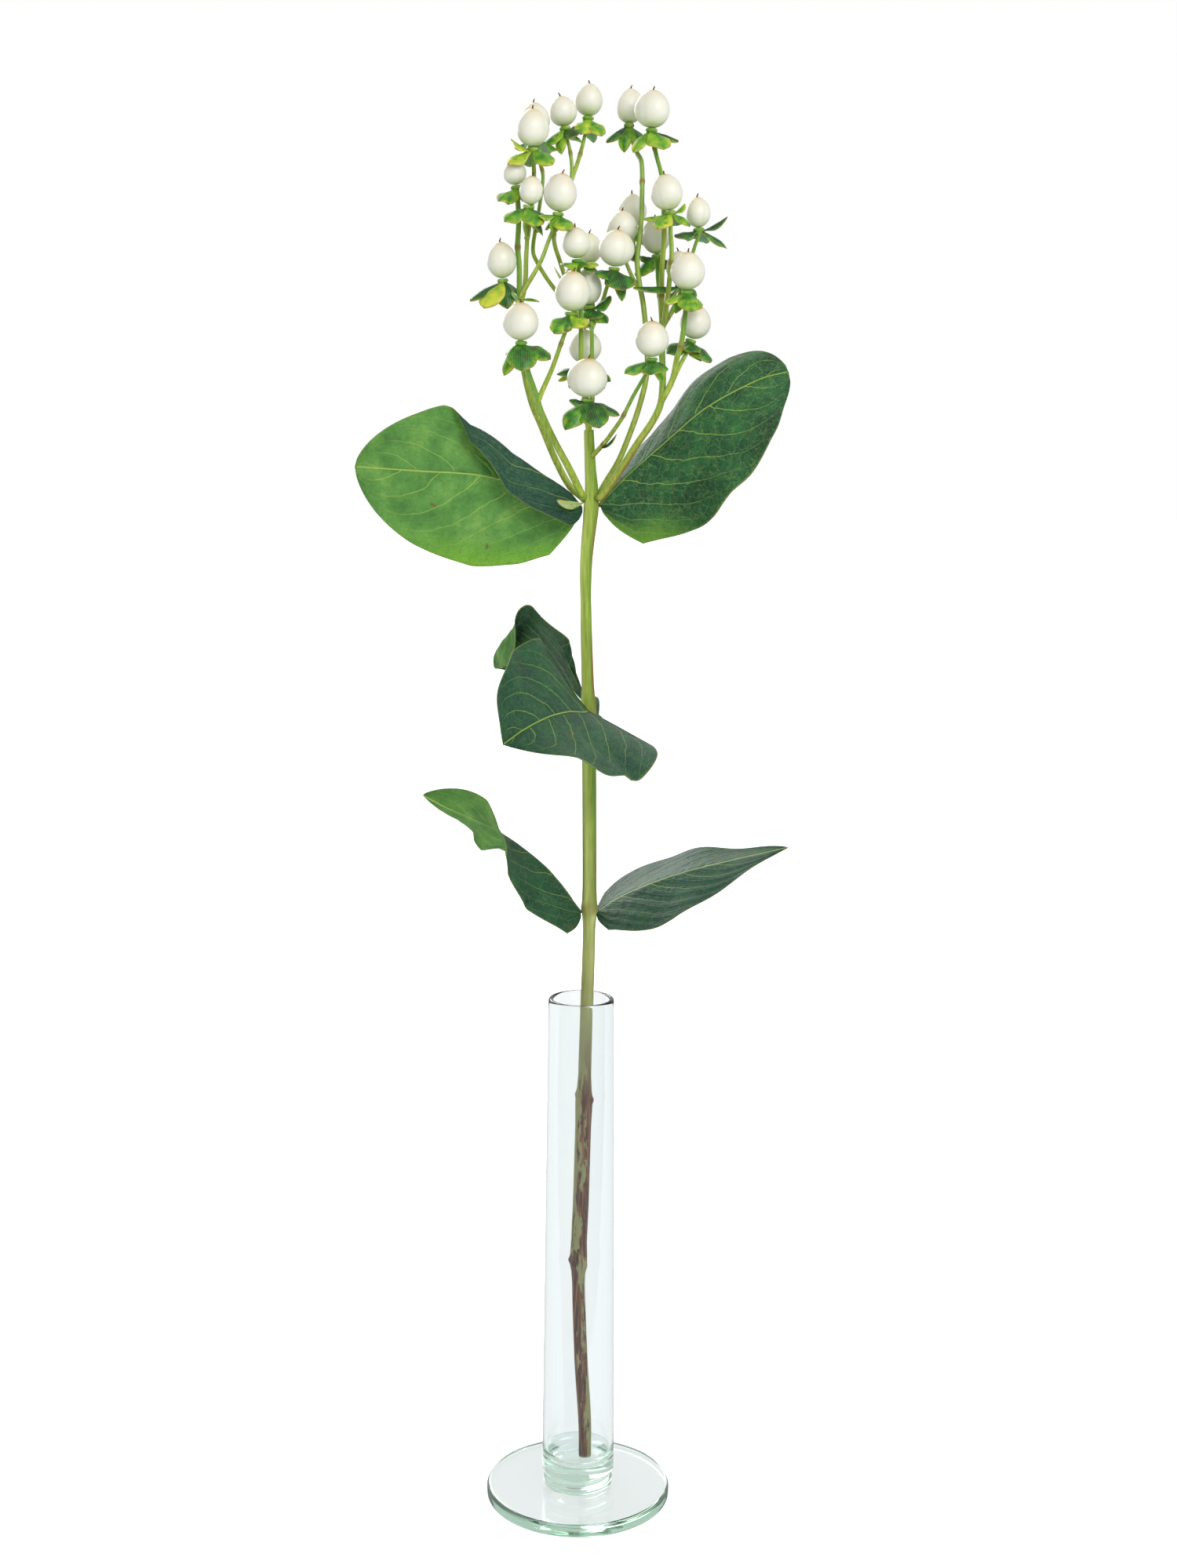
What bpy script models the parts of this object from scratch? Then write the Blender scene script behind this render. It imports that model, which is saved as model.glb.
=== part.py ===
"""Hypericum in a glass bud vase: one cut stem with three pairs of leaves and a head of 27 ivory berries.

Units are metres and +Z is up. The table is z = 0, the vase's axis is the Z axis, and the front, the side that
the head shows best, faces -Y. The stem, its side sprays, each leaf and each berry are closed solids, with a gap
of about 0.3 mm where one sits on another.
"""

from collections import namedtuple
import math

import bmesh
import bpy
import numpy as np

MM = 0.001
GAP = 0.0003
# What a Boolean leaves that is thinner than this is dissolved.
SLIVER = 0.000005

# The vase: a foot disc, a rounded joint and a slightly tapered tube, open at the top.
VASE_HEIGHT = 0.200
FOOT_RADIUS = 0.0356
FOOT_THICKNESS = 0.0049
FOOT_EDGE = 0.0016
JOINT_RADIUS = 0.0134
JOINT_TOP = 0.0084
JOINT_EDGE = 0.0016
TUBE_LOW_RADIUS = 0.0140
TUBE_LOW_HEIGHT = 0.0115
TUBE_RIM_RADIUS = 0.0124
TUBE_EDGE = 0.0020
WALL = 0.0019
FLOOR_HEIGHT = 0.0140
FLOOR_FLAT_RADIUS = 0.0055
FLOOR_CURVE_HEIGHT = 0.0065
VASE_SIDES = 32

# The main stem, from its cut end on the vase's floor to the fork under the foremost berry.
STEM_SIDES = 8
STEM_STATIONS = 38
STEM_PATH = [
    (0.0027, 0.0015, FLOOR_HEIGHT + 2 * GAP), (0.0025, 0.0020, 0.0300), (0.0008, 0.0035, 0.0560),
    (-0.0004, 0.0047, 0.0905), (0.0004, 0.0057, 0.1185), (0.0012, 0.0063, 0.1526), (0.0021, 0.0066, 0.1950),
    (0.0026, 0.0070, 0.2140), (0.0028, 0.0076, 0.2373), (0.0024, 0.0080, 0.2800), (0.0018, 0.0080, 0.3100),
    (0.0008, 0.0080, 0.3400), (0.0006, 0.0081, 0.3630), (0.0024, 0.0085, 0.3850), (0.0018, 0.0088, 0.3990),
    (0.0012, 0.0090, 0.4114),
]
# Stem radius against height.
STEM_RADII = [
    (0.0000, 0.0025), (0.0400, 0.0029), (0.0850, 0.0028), (0.0925, 0.0033), (0.1010, 0.0029), (0.1470, 0.0029),
    (0.1595, 0.0032), (0.1680, 0.0026), (0.2250, 0.0024), (0.2330, 0.0030), (0.2420, 0.0027), (0.2980, 0.0027),
    (0.3080, 0.0030), (0.3180, 0.0023), (0.3500, 0.0020), (0.3650, 0.0023), (0.3840, 0.0028), (0.3960, 0.0021),
    (0.4114, 0.0018),
]
# The two raised ridges that run down the stem, as a share of its radius.
STEM_RIDGE = 0.07

STALK_SIDES = 5
STALK_STEP = 0.008
STALK_TAPER = 0.72
RECEPTACLE_RADIUS = 0.0021
RECEPTACLE_HEIGHT = 0.0024
RECEPTACLE_EDGE = 0.0008
RECEPTACLE_TOP = 0.85

# The sepal at four places from root to tip: half width and cupping as shares of their greatest.
SEPAL_PLACES = np.array([0.0, 0.33, 0.66, 1.0])
SEPAL_OUTLINE = np.array([0.24, 0.90, 0.98, 0.0])
SEPAL_CUPPING = np.array([0.2, 0.9, 0.9, 0.0])
SEPAL_THICKNESS = 0.0009
SEPAL_CUP = 0.0009
SIDE_ROLL = math.radians(36)
SEPAL_ROOT_DEPTH = 0.0012
SEPAL_ROOT_OUT = 0.0010
# How far a sepal keeps from other pieces, and from the sepals of other sprays.
SEPAL_CLEARANCE = 0.0006
SEPAL_SPACING = 0.0014
# How much nearer it may come to its own berry, and to the stalks that it is grown together with.
OWN_BERRY_SLACK = 0.0003
OWN_SPRAY_SLACK = 0.0006
# The changes of lift and turn, in degrees, that a sepal tries in turn to stay clear.
FIT_LIFTS = (0, 12, -12, 24, -24, 36, -36, 48)
FIT_TURNS = (0, 10, -10, 20, -20, 30, -30)

BERRY_SIDES = 12
BERRY_RINGS = (0.07, 0.30, 0.62, 0.88)
BERRY_LOBE = 0.03
# The berry's outline is a sine of its height: this skews its fullest place downwards, and this rounds it out.
BERRY_SKEW = 0.92
BERRY_ROUNDNESS = 0.50

LEAF_THICKNESS = 0.0008
LEAF_STATIONS = 14
LEAF_ACROSS = (-1.0, -0.72, -0.42, 0.0, 0.42, 0.72, 1.0)
LEAF_STEPS = 24
# The share of a leaf's length in which its base lobes reach back.
LOBES_END = 0.25
# The share of a leaf's length in which its base rounds out from the stem.
ROUND_BASE = 0.07

# A berry: the middle of its base, its diameter and length, how far it leans to the right and to the back in
# degrees, and how far its three lobes are turned.
Berry = namedtuple("Berry", "base diameter length right back turn")

BERRIES = {
    "berry_01": Berry((-0.0195, 0.002, 0.5101), 0.0117, 0.0128, 0, -4, 20),
    "berry_02": Berry((-0.0184, 0.015, 0.5155), 0.0110, 0.0118, -6, 4, 50),
    "berry_03": Berry((-0.0084, 0.022, 0.5202), 0.0103, 0.0106, -9, 5, 10),
    "berry_04": Berry((0.0001, 0.026, 0.5244), 0.0103, 0.0116, 2, 6, 40),
    "berry_05": Berry((0.0151, 0.030, 0.5226), 0.0105, 0.0125, 2, 8, 0),
    "berry_06": Berry((0.0231, 0.018, 0.5192), 0.0129, 0.0132, 2, 3, 62),
    "berry_07": Berry((-0.0253, 0.004, 0.4972), 0.0084, 0.0086, -8, 0, 30),
    "berry_08": Berry((-0.0205, -0.002, 0.4898), 0.0085, 0.0098, 8, -4, 8),
    "berry_09": Berry((-0.0101, -0.002, 0.4874), 0.0119, 0.0132, 6, -2, 44),
    "berry_10": Berry((0.0168, 0.026, 0.4856), 0.0108, 0.0116, -2, 8, 36),
    "berry_11": Berry((0.0127, 0.013, 0.4780), 0.0114, 0.0116, 0, 3, 26),
    "berry_12": Berry((0.0099, 0.000, 0.4688), 0.0129, 0.0128, 5, -2, 0),
    "berry_13": Berry((0.0295, 0.004, 0.4888), 0.0115, 0.0127, -10, 2, 58),
    "berry_14": Berry((0.0405, 0.016, 0.4842), 0.0090, 0.0108, -4, 4, 0),
    "berry_15": Berry((0.0256, 0.018, 0.4750), 0.0105, 0.0126, -5, 4, 18),
    "berry_16": Berry((-0.0033, -0.002, 0.4714), 0.0100, 0.0107, -5, -2, 30),
    "berry_17": Berry((0.0008, 0.014, 0.4710), 0.0092, 0.0108, 0, 5, 0),
    "berry_18": Berry((-0.0301, 0.004, 0.4648), 0.0108, 0.0127, -5, 0, 6),
    "berry_19": Berry((0.0355, -0.008, 0.4603), 0.0123, 0.0130, 1, -3, 20),
    "berry_20": Berry((0.0340, 0.010, 0.4640), 0.0095, 0.0114, -5, 3, 40),
    "berry_21": Berry((-0.0228, -0.014, 0.4421), 0.0126, 0.0130, 0, -6, 54),
    "berry_22": Berry((-0.0054, -0.008, 0.4526), 0.0125, 0.0138, 4, -4, 12),
    "berry_23": Berry((0.0008, 0.004, 0.4556), 0.0104, 0.0131, -4, 2, 40),
    "berry_24": Berry((0.0380, 0.006, 0.4442), 0.0112, 0.0118, 15, 0, 34),
    "berry_25": Berry((0.0231, -0.016, 0.4366), 0.0117, 0.0124, 0, -6, 16),
    "berry_26": Berry((-0.0005, 0.009, 0.4352), 0.0119, 0.0121, 0, 3, 0),
    "berry_27": Berry((0.0005, -0.012, 0.4226), 0.0143, 0.0136, 2, -5, 50),
}

# The five sepals under each berry, in millimetres from the middle of the berry's base: how far the tip lies to
# the right, to the back and up, how wide the blade is, and how lime it is, from 0, dark, to 1.
SEPALS = {
    "berry_01": [(-7.4, -4, 1.9, 5, .8), (-9.3, -2, -6.7, 6.75, .9), (7.4, -4, -6.7, 6.75, .5), (6, 6, -4, 6.75, .2), (-2, 7, -6, 6.75, .3)],
    "berry_02": [(-8, 2, -4, 6.25, .3), (7.5, 3, -4.5, 6.25, .3), (-4, 8, -5, 6.25, .2), (4, 8, -5, 6.25, .2), (0, -3, -8, 5, .3)],
    "berry_03": [(-7, -4, -7.5, 6.75, .5), (-1, -3, -10.4, 4.5, .6), (5, -6, -4, 6.75, 0), (6, 6, -5, 6.75, .2), (-5, 6, -5, 6.75, .1)],
    "berry_04": [(5.2, -5, -7.8, 7, .7), (-8.5, -3, -6.9, 5, 0), (-2.5, -6, -7.5, 7.25, .8), (2, 6, -8.7, 5.5, .3), (-5, 6, -5, 6.25, .2)],
    "berry_05": [(-8.2, -3, -7.5, 5.5, 0), (-1.7, -4, -11, 5.25, .6), (3.5, -3, -8.5, 5, .4), (7, 5, -5, 6.25, .2), (-4, 7, -5, 6.25, .2)],
    "berry_06": [(4.5, -6, -8.4, 9.25, .6), (9.8, 1, -4.6, 5.5, 0), (-6.7, -4, -9.2, 5.25, .7), (-5, 6, -5, 6.75, .2), (5, 7, -5, 6.75, .2)],
    "berry_07": [(-6.1, -3.5, -6.2, 7.5, .6), (-2.5, -5, -7.5, 5.5, .5), (5, 4, -4, 5.5, .2), (0, 7, -4, 5.5, .2), (4.5, -3.5, -6, 5, .3)],
    "berry_08": [(-8.6, -3.5, -6.5, 7.25, .4), (2.8, -5.5, -8.3, 8.25, .5), (6, 2, -5, 6.25, .2), (-3, 6.5, -5, 6.25, .2), (4.8, 3, -10.5, 4.75, .1)],
    "berry_09": [(4.4, -5, -7.2, 7.75, .6), (-7.1, -3.5, -2.2, 4, .6), (-4.5, 4, -6, 6.75, .3), (3, 7, -5, 6.75, .2), (-1.5, -3, -8, 4, .4)],
    "berry_10": [(-6, -4, -6, 6.25, .3), (6, -4, -6, 6.25, .3), (7, 4, -5, 6.25, .2), (-7, 4, -5, 6.25, .2), (0, 8, -5, 6.25, .2)],
    "berry_11": [(-7, 2, -5, 6.25, .2), (7, 3, -5, 6.25, .2), (-4, 7, -5, 6.25, .1), (4, 7, -5, 6.25, .1), (6, -2, -6.5, 5, .2)],
    "berry_12": [(3.5, -7, -8.8, 11.25, .05), (-6.5, -4, -3.5, 7.25, .1), (2.8, -2, -12.2, 5, .2), (-3, 7, -5, 6.75, .1), (6, 6, -5, 6.75, .1)],
    "berry_13": [(-9.7, -1, -3.3, 3.25, .6), (-4.6, -5.5, -7, 7.25, .8), (7.3, -3.5, -5.9, 4, .5), (5.5, 2, 2.6, 3.25, .7), (1, 7, -5, 6.75, .2)],
    "berry_14": [(-8.9, -4, -3.6, 6.25, 0), (10.6, 2, 4.1, 3.25, 0), (10.3, -1, -7.5, 3.5, .1), (-3, 6, -4, 5.5, .1), (3, 6, -5, 5.5, .2)],
    "berry_15": [(-5.8, -6, -7.9, 9, .35), (3.8, -4.5, -6, 6.75, .1), (-6.5, -1, .6, 4.5, 0), (5, 5, -5, 6.25, .1), (-3, 7, -4, 6.75, .1)],
    "berry_16": [(-4.5, -4.5, -4.5, 6.75, .5), (7.7, -2, -2.6, 3.25, .7), (4, -5, -3, 4, .4), (5, 5, -4, 5.5, .2), (-4, 6, -4, 5.5, .2)],
    "berry_17": [(-6, 3, -5, 5.5, .2), (6, 3, -5, 5.5, .2), (-3, 7, -4, 5.5, .2), (3, 7, -4, 5.5, .2), (0, -4, -7, 4.5, .2)],
    "berry_18": [(-11.5, -3, -8.4, 5.5, 0), (-6.5, -6, -11, 9.75, 1), (1.8, -5.5, -11.2, 7.25, 0), (6, 4, -5, 6.25, .1), (-3, 7, -6, 6.75, .2)],
    "berry_19": [(1.8, -6.5, -8, 9.25, .5), (-7.6, -3, -5.2, 4, .7), (-4, -3, -8.5, 4, .3), (-5, 5, -2.5, 6.25, 0), (6, 5, -5, 6.75, .2)],
    "berry_20": [(-17.5, -6, -6.8, 5.25, .1), (-9.8, 2, -10, 5, 1), (5, -4, -6, 5.5, .2), (5, 5, -4, 5.5, .2), (-2, 7, -4, 5.5, .1)],
    "berry_21": [(.6, -6.5, -11, 10.75, .2), (10.5, -3.5, -6.6, 6.25, .2), (-5.9, -1, -12.3, 5.5, .5), (-5.5, 6, -4, 6.25, .2), (5, 6.5, -5, 6.75, .2)],
    "berry_22": [(-6, -4.5, -8, 8, .5), (5.2, -5.5, -5.8, 7, .9), (-1.5, -4.5, -7, 4.5, .3), (-4, 6.5, -5, 6.75, .2), (6, 5, -5, 6.25, .2)],
    "berry_23": [(6.8, -3.5, -6.7, 6.25, .2), (0, -5.5, -5.5, 8, .1), (-5, 4, -5, 6.25, .2), (2, 7.5, -4, 6.25, .2), (6.5, 4, -4, 5.5, .2)],
    "berry_24": [(-9, -2.5, -5.6, 6.75, .05), (7.1, -3, -8.6, 7.25, .15), (3.4, -2, -8.2, 6.25, .5), (0, -6, -5.2, 7.25, .2), (0, 7, -5, 6.75, .1)],
    "berry_25": [(-9.5, -3.5, -6, 5.5, .4), (0, -6.5, -6.4, 8.5, .2), (3.8, -1, -9, 4.5, .7), (6, 4, -4, 6.25, .2), (-3, 7, -4, 6.75, .1)],
    "berry_26": [(-10, -3, -4.2, 6.25, 0), (-9.5, -1, -6.5, 4, .9), (9.5, -2.5, -6.5, 5.5, 0), (7.5, 1, -9, 5, .8), (-5.5, -3, -9, 4, .1)],
    "berry_27": [(-7.6, -4.5, -11.6, 8, .4), (4.6, -6, -10.8, 10.75, .1), (11.6, 1, -6.3, 4.5, 0), (-6.3, -2, -1.2, 4.5, .1), (0, 7.5, -5, 7.25, .2)],
}

# A stalk: its width, its route and the berry at its end. The route of a stalk with a berry goes on to the
# calyx by itself. A fork starts on the middle line of the stalk that it leaves.
Stalk = namedtuple("Stalk", "width route berry")

CENTRE_CYME = [
    Stalk(0.0024, [(0.0012, 0.009, 0.4110), (0.0011, 0.001, 0.4150), (0.0006, -0.007, 0.4180)], "berry_27"),
    Stalk(0.0018, [(0.0012, 0.009, 0.4100), (0.0006, 0.0115, 0.4210)], "berry_26"),
    Stalk(0.0021, [(0.0012, 0.009, 0.4110), (-0.0002, 0.004, 0.4220), (-0.0016, -0.0005, 0.4340),
                   (-0.0018, -0.001, 0.4480), (-0.0021, -0.0016, 0.4606)], "berry_16"),
    Stalk(0.0018, [(0.0012, 0.009, 0.4110), (0.0024, 0.004, 0.4220), (0.0022, -0.0005, 0.4340),
                   (0.0019, 0.000, 0.4480)], "berry_23"),
    Stalk(0.0018, [(0.0019, 0.000, 0.4470), (0.0046, 0.007, 0.4539), (0.0061, 0.009, 0.4580),
                   (0.0076, 0.007, 0.4628)], "berry_12"),
    Stalk(0.0016, [(0.0019, 0.001, 0.4480), (0.0026, 0.009, 0.4540), (0.0014, 0.013, 0.4630)], "berry_17"),
    Stalk(0.0018, [(-0.0018, -0.001, 0.4470), (-0.0036, 0.005, 0.4530), (-0.0082, 0.010, 0.4670),
                   (-0.0095, 0.010, 0.4708), (-0.0119, 0.010, 0.4800), (-0.0091, 0.014, 0.4913),
                   (-0.0059, 0.018, 0.5011), (-0.0061, 0.020, 0.5097)], "berry_03"),
    Stalk(0.0016, [(-0.0059, 0.018, 0.5005), (-0.0028, 0.021, 0.5098)], "berry_04"),
    Stalk(0.0016, [(-0.0018, -0.001, 0.4475), (-0.0055, 0.005, 0.4550), (-0.0121, 0.008, 0.4621),
                   (-0.0176, 0.009, 0.4704), (-0.0194, 0.010, 0.4760), (-0.0175, 0.012, 0.4885),
                   (-0.0160, 0.014, 0.5010), (-0.0173, 0.014, 0.5068)], "berry_02"),
    Stalk(0.0017, [(0.0017, 0.0085, 0.4010), (0.0068, 0.002, 0.4066), (0.0101, -0.003, 0.4111),
                   (0.0134, -0.007, 0.4161), (0.0172, -0.011, 0.4237)], "berry_25"),
]
SPRAYS = {
    "main_stem": CENTRE_CYME,
    "spray_left_outer": [
        Stalk(0.0025, [(-0.0009, 0.0099, 0.3868), (-0.0058, 0.009, 0.3912), (-0.0111, 0.007, 0.4010),
                       (-0.0159, 0.004, 0.4124), (-0.0194, 0.001, 0.4207), (-0.0222, 0.000, 0.4323),
                       (-0.0238, 0.001, 0.4466), (-0.0240, 0.002, 0.4585), (-0.0242, 0.006, 0.4688),
                       (-0.0248, 0.0065, 0.4760), (-0.0244, 0.005, 0.4852)], "berry_07"),
        Stalk(0.0019, [(-0.0239, 0.0015, 0.4540), (-0.0221, 0.005, 0.4626), (-0.0217, 0.005, 0.4723),
                       (-0.0214, 0.004, 0.4790), (-0.0221, 0.001, 0.4830)], "berry_08"),
        Stalk(0.0020, [(-0.0214, 0.004, 0.4785), (-0.0203, 0.007, 0.4870), (-0.0194, 0.007, 0.4950),
                       (-0.0190, 0.005, 0.5020)], "berry_01"),
        Stalk(0.0018, [(-0.0240, 0.002, 0.4575), (-0.0216, 0.000, 0.4614), (-0.0164, -0.002, 0.4700),
                       (-0.0133, -0.002, 0.4779)], "berry_09"),
        Stalk(0.0020, [(-0.0239, 0.0015, 0.4560), (-0.0278, 0.003, 0.4600)], "berry_18"),
    ],
    "spray_left_inner": [
        Stalk(0.0026, [(-0.0009, 0.0056, 0.3875), (-0.0058, 0.000, 0.3975), (-0.0110, -0.003, 0.4070),
                       (-0.0158, -0.005, 0.4172), (-0.0176, -0.0065, 0.4230), (-0.0205, -0.011, 0.4312)],
              "berry_21"),
        Stalk(0.0018, [(-0.0170, -0.006, 0.4210), (-0.0152, -0.0065, 0.4255), (-0.0121, -0.008, 0.4323),
                       (-0.0095, -0.009, 0.4394), (-0.0075, -0.009, 0.4450)], "berry_22"),
    ],
    "spray_right_inner": [
        Stalk(0.0024, [(0.0051, 0.0112, 0.3882), (0.0080, 0.0118, 0.3932), (0.0120, 0.010, 0.3999),
                       (0.0154, 0.008, 0.4081), (0.0193, 0.006, 0.4194), (0.0220, 0.005, 0.4314),
                       (0.0219, 0.006, 0.4430), (0.0206, 0.008, 0.4558), (0.0192, 0.009, 0.4632),
                       (0.0182, 0.009, 0.4714), (0.0190, 0.009, 0.4800), (0.0196, 0.011, 0.4886),
                       (0.0197, 0.018, 0.5058), (0.0179, 0.024, 0.5115)], "berry_05"),
        Stalk(0.0018, [(0.0194, 0.009, 0.4620), (0.0186, 0.014, 0.4680), (0.0172, 0.021, 0.4780)], "berry_10"),
        Stalk(0.0017, [(0.0196, 0.009, 0.4610), (0.0170, 0.0105, 0.4650), (0.0144, 0.013, 0.4710)], "berry_11"),
    ],
    "spray_right_outer": [
        Stalk(0.0027, [(0.0057, 0.0060, 0.3870), (0.0092, 0.0040, 0.3915), (0.0151, 0.000, 0.4008),
                       (0.0192, -0.002, 0.4073), (0.0238, -0.0035, 0.4140), (0.0268, -0.004, 0.4205),
                       (0.0276, -0.002, 0.4285), (0.0274, 0.003, 0.4390), (0.0275, 0.008, 0.4488),
                       (0.0270, 0.012, 0.4571), (0.0263, 0.016, 0.4650)], "berry_15"),
        Stalk(0.0022, [(0.0270, -0.004, 0.4212), (0.0310, -0.004, 0.4292), (0.0325, -0.005, 0.4369),
                       (0.0336, -0.006, 0.4403), (0.0345, -0.007, 0.4461), (0.0351, -0.008, 0.4530)],
              "berry_19"),
        Stalk(0.0019, [(0.0308, -0.004, 0.4285), (0.0334, 0.000, 0.4338), (0.0360, 0.003, 0.4385)], "berry_24"),
        Stalk(0.0020, [(0.0274, 0.007, 0.4470), (0.0284, 0.006, 0.4520), (0.0295, 0.003, 0.4620),
                       (0.0303, 0.002, 0.4738), (0.0299, 0.003, 0.4810)], "berry_13"),
        Stalk(0.0017, [(0.0275, 0.0075, 0.4480), (0.0300, 0.010, 0.4520), (0.0330, 0.0115, 0.4570)],
              "berry_20"),
        Stalk(0.0017, [(0.0275, 0.008, 0.4490), (0.0315, 0.0145, 0.4550), (0.0358, 0.0175, 0.4650),
                       (0.0388, 0.017, 0.4760)], "berry_14"),
        Stalk(0.0020, [(0.0274, 0.0085, 0.4495), (0.0272, 0.010, 0.4580), (0.0272, 0.0105, 0.4680),
                       (0.0278, 0.0100, 0.4820), (0.0270, 0.014, 0.5000), (0.0250, 0.017, 0.5090)], "berry_06"),
    ],
}

# One half of a leaf, from its midrib out: its greatest width, then its rise above the level, its bend towards
# the upper side (both in degrees) and where across it bends (as a share of its width), each as (place along
# the midrib, value) pairs, then how softly it bends and the height of its waves.
Half = namedtuple("Half", "width rise bend bend_at softness wave")
# A leaf: the route of its midrib from the stem to the tip, where along it is widest, how wide its base is as
# a share of that, how far its base lobes reach back past the stem, how blunt its tip is, how many waves its
# margins have, and its right and left halves seen from the stem.
Leaf = namedtuple("Leaf", "midrib widest base lobes tip point waves right left")
FLAT = [(0, 0), (1, 0)]
MIDDLE = [(0, 0.5), (1, 0.5)]

LEAVES = {
    "leaf_top_left": Leaf(
        [(-0.0012, 0.0095, 0.3832), (-0.0159, 0.005, 0.3887), (-0.0369, 0.001, 0.3946), (-0.0610, -0.003, 0.3963),
         (-0.0829, -0.004, 0.3977)], 0.42, 0.50, 0.003, 2.0, 0.62, 3.0,
        Half(0.033, [(0, -80), (1, -84)], [(0, 10), (0.5, -14), (1, 0)], MIDDLE, 1.0, 0.0010),
        Half(0.0262, [(0, 92), (0.6, 98), (1, 85)], [(0, -165), (1, -165)],
             [(0, 0.15), (0.36, 0.40), (0.53, 0.68), (0.66, 1.25), (1, 1.6)], 0.30, 0.0010)),
    "leaf_top_right": Leaf(
        [(0.0054, 0.0082, 0.3843), (0.0150, 0.006, 0.3946), (0.0286, 0.003, 0.4068), (0.0435, 0.000, 0.4195),
         (0.0616, -0.001, 0.4293), (0.0728, -0.001, 0.4325)], 0.40, 0.48, 0.007, 2.9, 0.60, 2.5,
        Half(0.0345, [(0, -88), (0.5, -72), (0.8, -54), (1, -48)], [(0, -20), (0.5, 14), (1, 0)], MIDDLE, 1.0, 0.0012),
        Half(0.026, [(0, 22), (0.5, 43), (0.8, 64), (1, 70)], [(0, -30), (0.5, -50), (1, -50)], MIDDLE, 0.6,
             0.0010)),
    "leaf_middle_front": Leaf(
        [(0.0017, 0.0047, 0.3085), (0.0000, -0.006, 0.3094), (-0.0055, -0.018, 0.3110), (-0.0125, -0.032, 0.3108),
         (-0.0205, -0.047, 0.3083), (-0.0270, -0.060, 0.3050)], 0.30, 0.62, 0.0, 2.1, 0.65, 3.0,
        Half(0.029, [(0, 42), (0.15, 55), (0.35, 63), (0.6, 68), (1, 72)], [(0, 10), (0.5, -10), (1, 0)], MIDDLE, 1.0, 0.0012),
        Half(0.0365, [(0, -24), (0.2, -34), (0.42, -42), (0.7, -32), (1, -14)], [(0, 0), (0.5, 6), (1, 0)], MIDDLE, 1.0, 0.0014)),
    "leaf_middle_back": Leaf(
        [(0.0020, 0.0116, 0.3085), (0.0004, 0.020, 0.3104), (-0.0095, 0.035, 0.3180), (-0.0210, 0.052, 0.3215),
         (-0.0310, 0.064, 0.3200), (-0.0360, 0.070, 0.3175)], 0.46, 0.74, 0.0, 1.8, 0.75, 3.0,
        Half(0.023, [(0, -44), (0.15, -46), (0.3, -36), (0.4, -30), (1, -30)], FLAT, MIDDLE, 1.0, 0.0014),
        Half(0.032, [(0, 66), (0.35, 60), (0.6, 61), (1, 60)], [(0, -165), (1, -165)],
             [(0, 1.5), (0.40, 1.14), (0.52, 0.80), (0.75, 0.52), (1, 0.42)], 0.30, 0.0010)),
    "leaf_bottom_left": Leaf(
        [(-0.0003, 0.0075, 0.2315), (-0.0066, 0.0055, 0.2410), (-0.0145, 0.004, 0.2504), (-0.0233, 0.002, 0.2581),
         (-0.0296, 0.0005, 0.2627), (-0.0351, -0.001, 0.2664), (-0.0430, -0.0025, 0.2701),
         (-0.0513, -0.0035, 0.2739), (-0.0590, -0.004, 0.2780)], 0.34, 0.44, 0.007, 2.0, 0.80, 2.0,
        Half(0.020, [(0, 5), (0.3, -6), (0.48, -22), (0.56, -38), (0.62, -30), (0.66, -24), (0.72, -20), (0.78, -18),
                     (0.87, -22), (1, -34)], FLAT, MIDDLE, 1.0, 0.0008),
        Half(0.0235, [(0, -46), (0.25, -46), (0.5, -26), (0.6, -9), (0.66, 4), (0.7, 18), (0.74, 33), (0.8, 45),
                      (0.87, 58), (0.94, 70), (1, 72)], FLAT, MIDDLE, 1.0, 0.0010)),
    "leaf_bottom_right": Leaf(
        [(0.0059, 0.0078, 0.2318), (0.0143, 0.006, 0.2378), (0.0257, 0.003, 0.2437), (0.0399, 0.000, 0.2493),
         (0.0586, -0.003, 0.2548), (0.0763, -0.005, 0.2595)], 0.34, 0.42, 0.004, 1.4, 1.0, 2.5,
        Half(0.0222, [(0, -36), (0.4, -40), (1, -22)], FLAT, MIDDLE, 1.0, 0.0010),
        Half(0.022, [(0, 14), (1, 12)], FLAT, MIDDLE, 1.0, 0.0010)),
}


def clear_scene():
    for obj in list(bpy.data.objects):
        bpy.data.objects.remove(obj)


def material(name, hex_colour, roughness, transmission=0.0):
    """A Principled material with an sRGB colour."""
    made = bpy.data.materials.new(name)
    made.use_nodes = True
    shader = made.node_tree.nodes["Principled BSDF"]
    srgb = [int(hex_colour[i:i + 2], 16) / 255 for i in (1, 3, 5)]
    linear = [c / 12.92 if c < 0.04045 else ((c + 0.055) / 1.055) ** 2.4 for c in srgb]
    shader.inputs["Base Color"].default_value = (*linear, 1)
    shader.inputs["Roughness"].default_value = roughness
    shader.inputs["Metallic"].default_value = 0.0
    shader.inputs["Transmission Weight"].default_value = transmission
    made.diffuse_color = (*linear, 1)
    return made


def add_object(name, points, faces, look):
    """A mesh object from points and faces, shaded smooth."""
    mesh = bpy.data.meshes.new(name)
    mesh.from_pydata([tuple(p) for p in points], [], [tuple(int(i) for i in f) for f in faces])
    mesh.materials.append(look)
    mesh.shade_smooth()
    obj = bpy.data.objects.new(name, mesh)
    bpy.context.scene.collection.objects.link(obj)
    return obj


def unit(vectors):
    return vectors / np.linalg.norm(vectors, axis=-1, keepdims=True)


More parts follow.
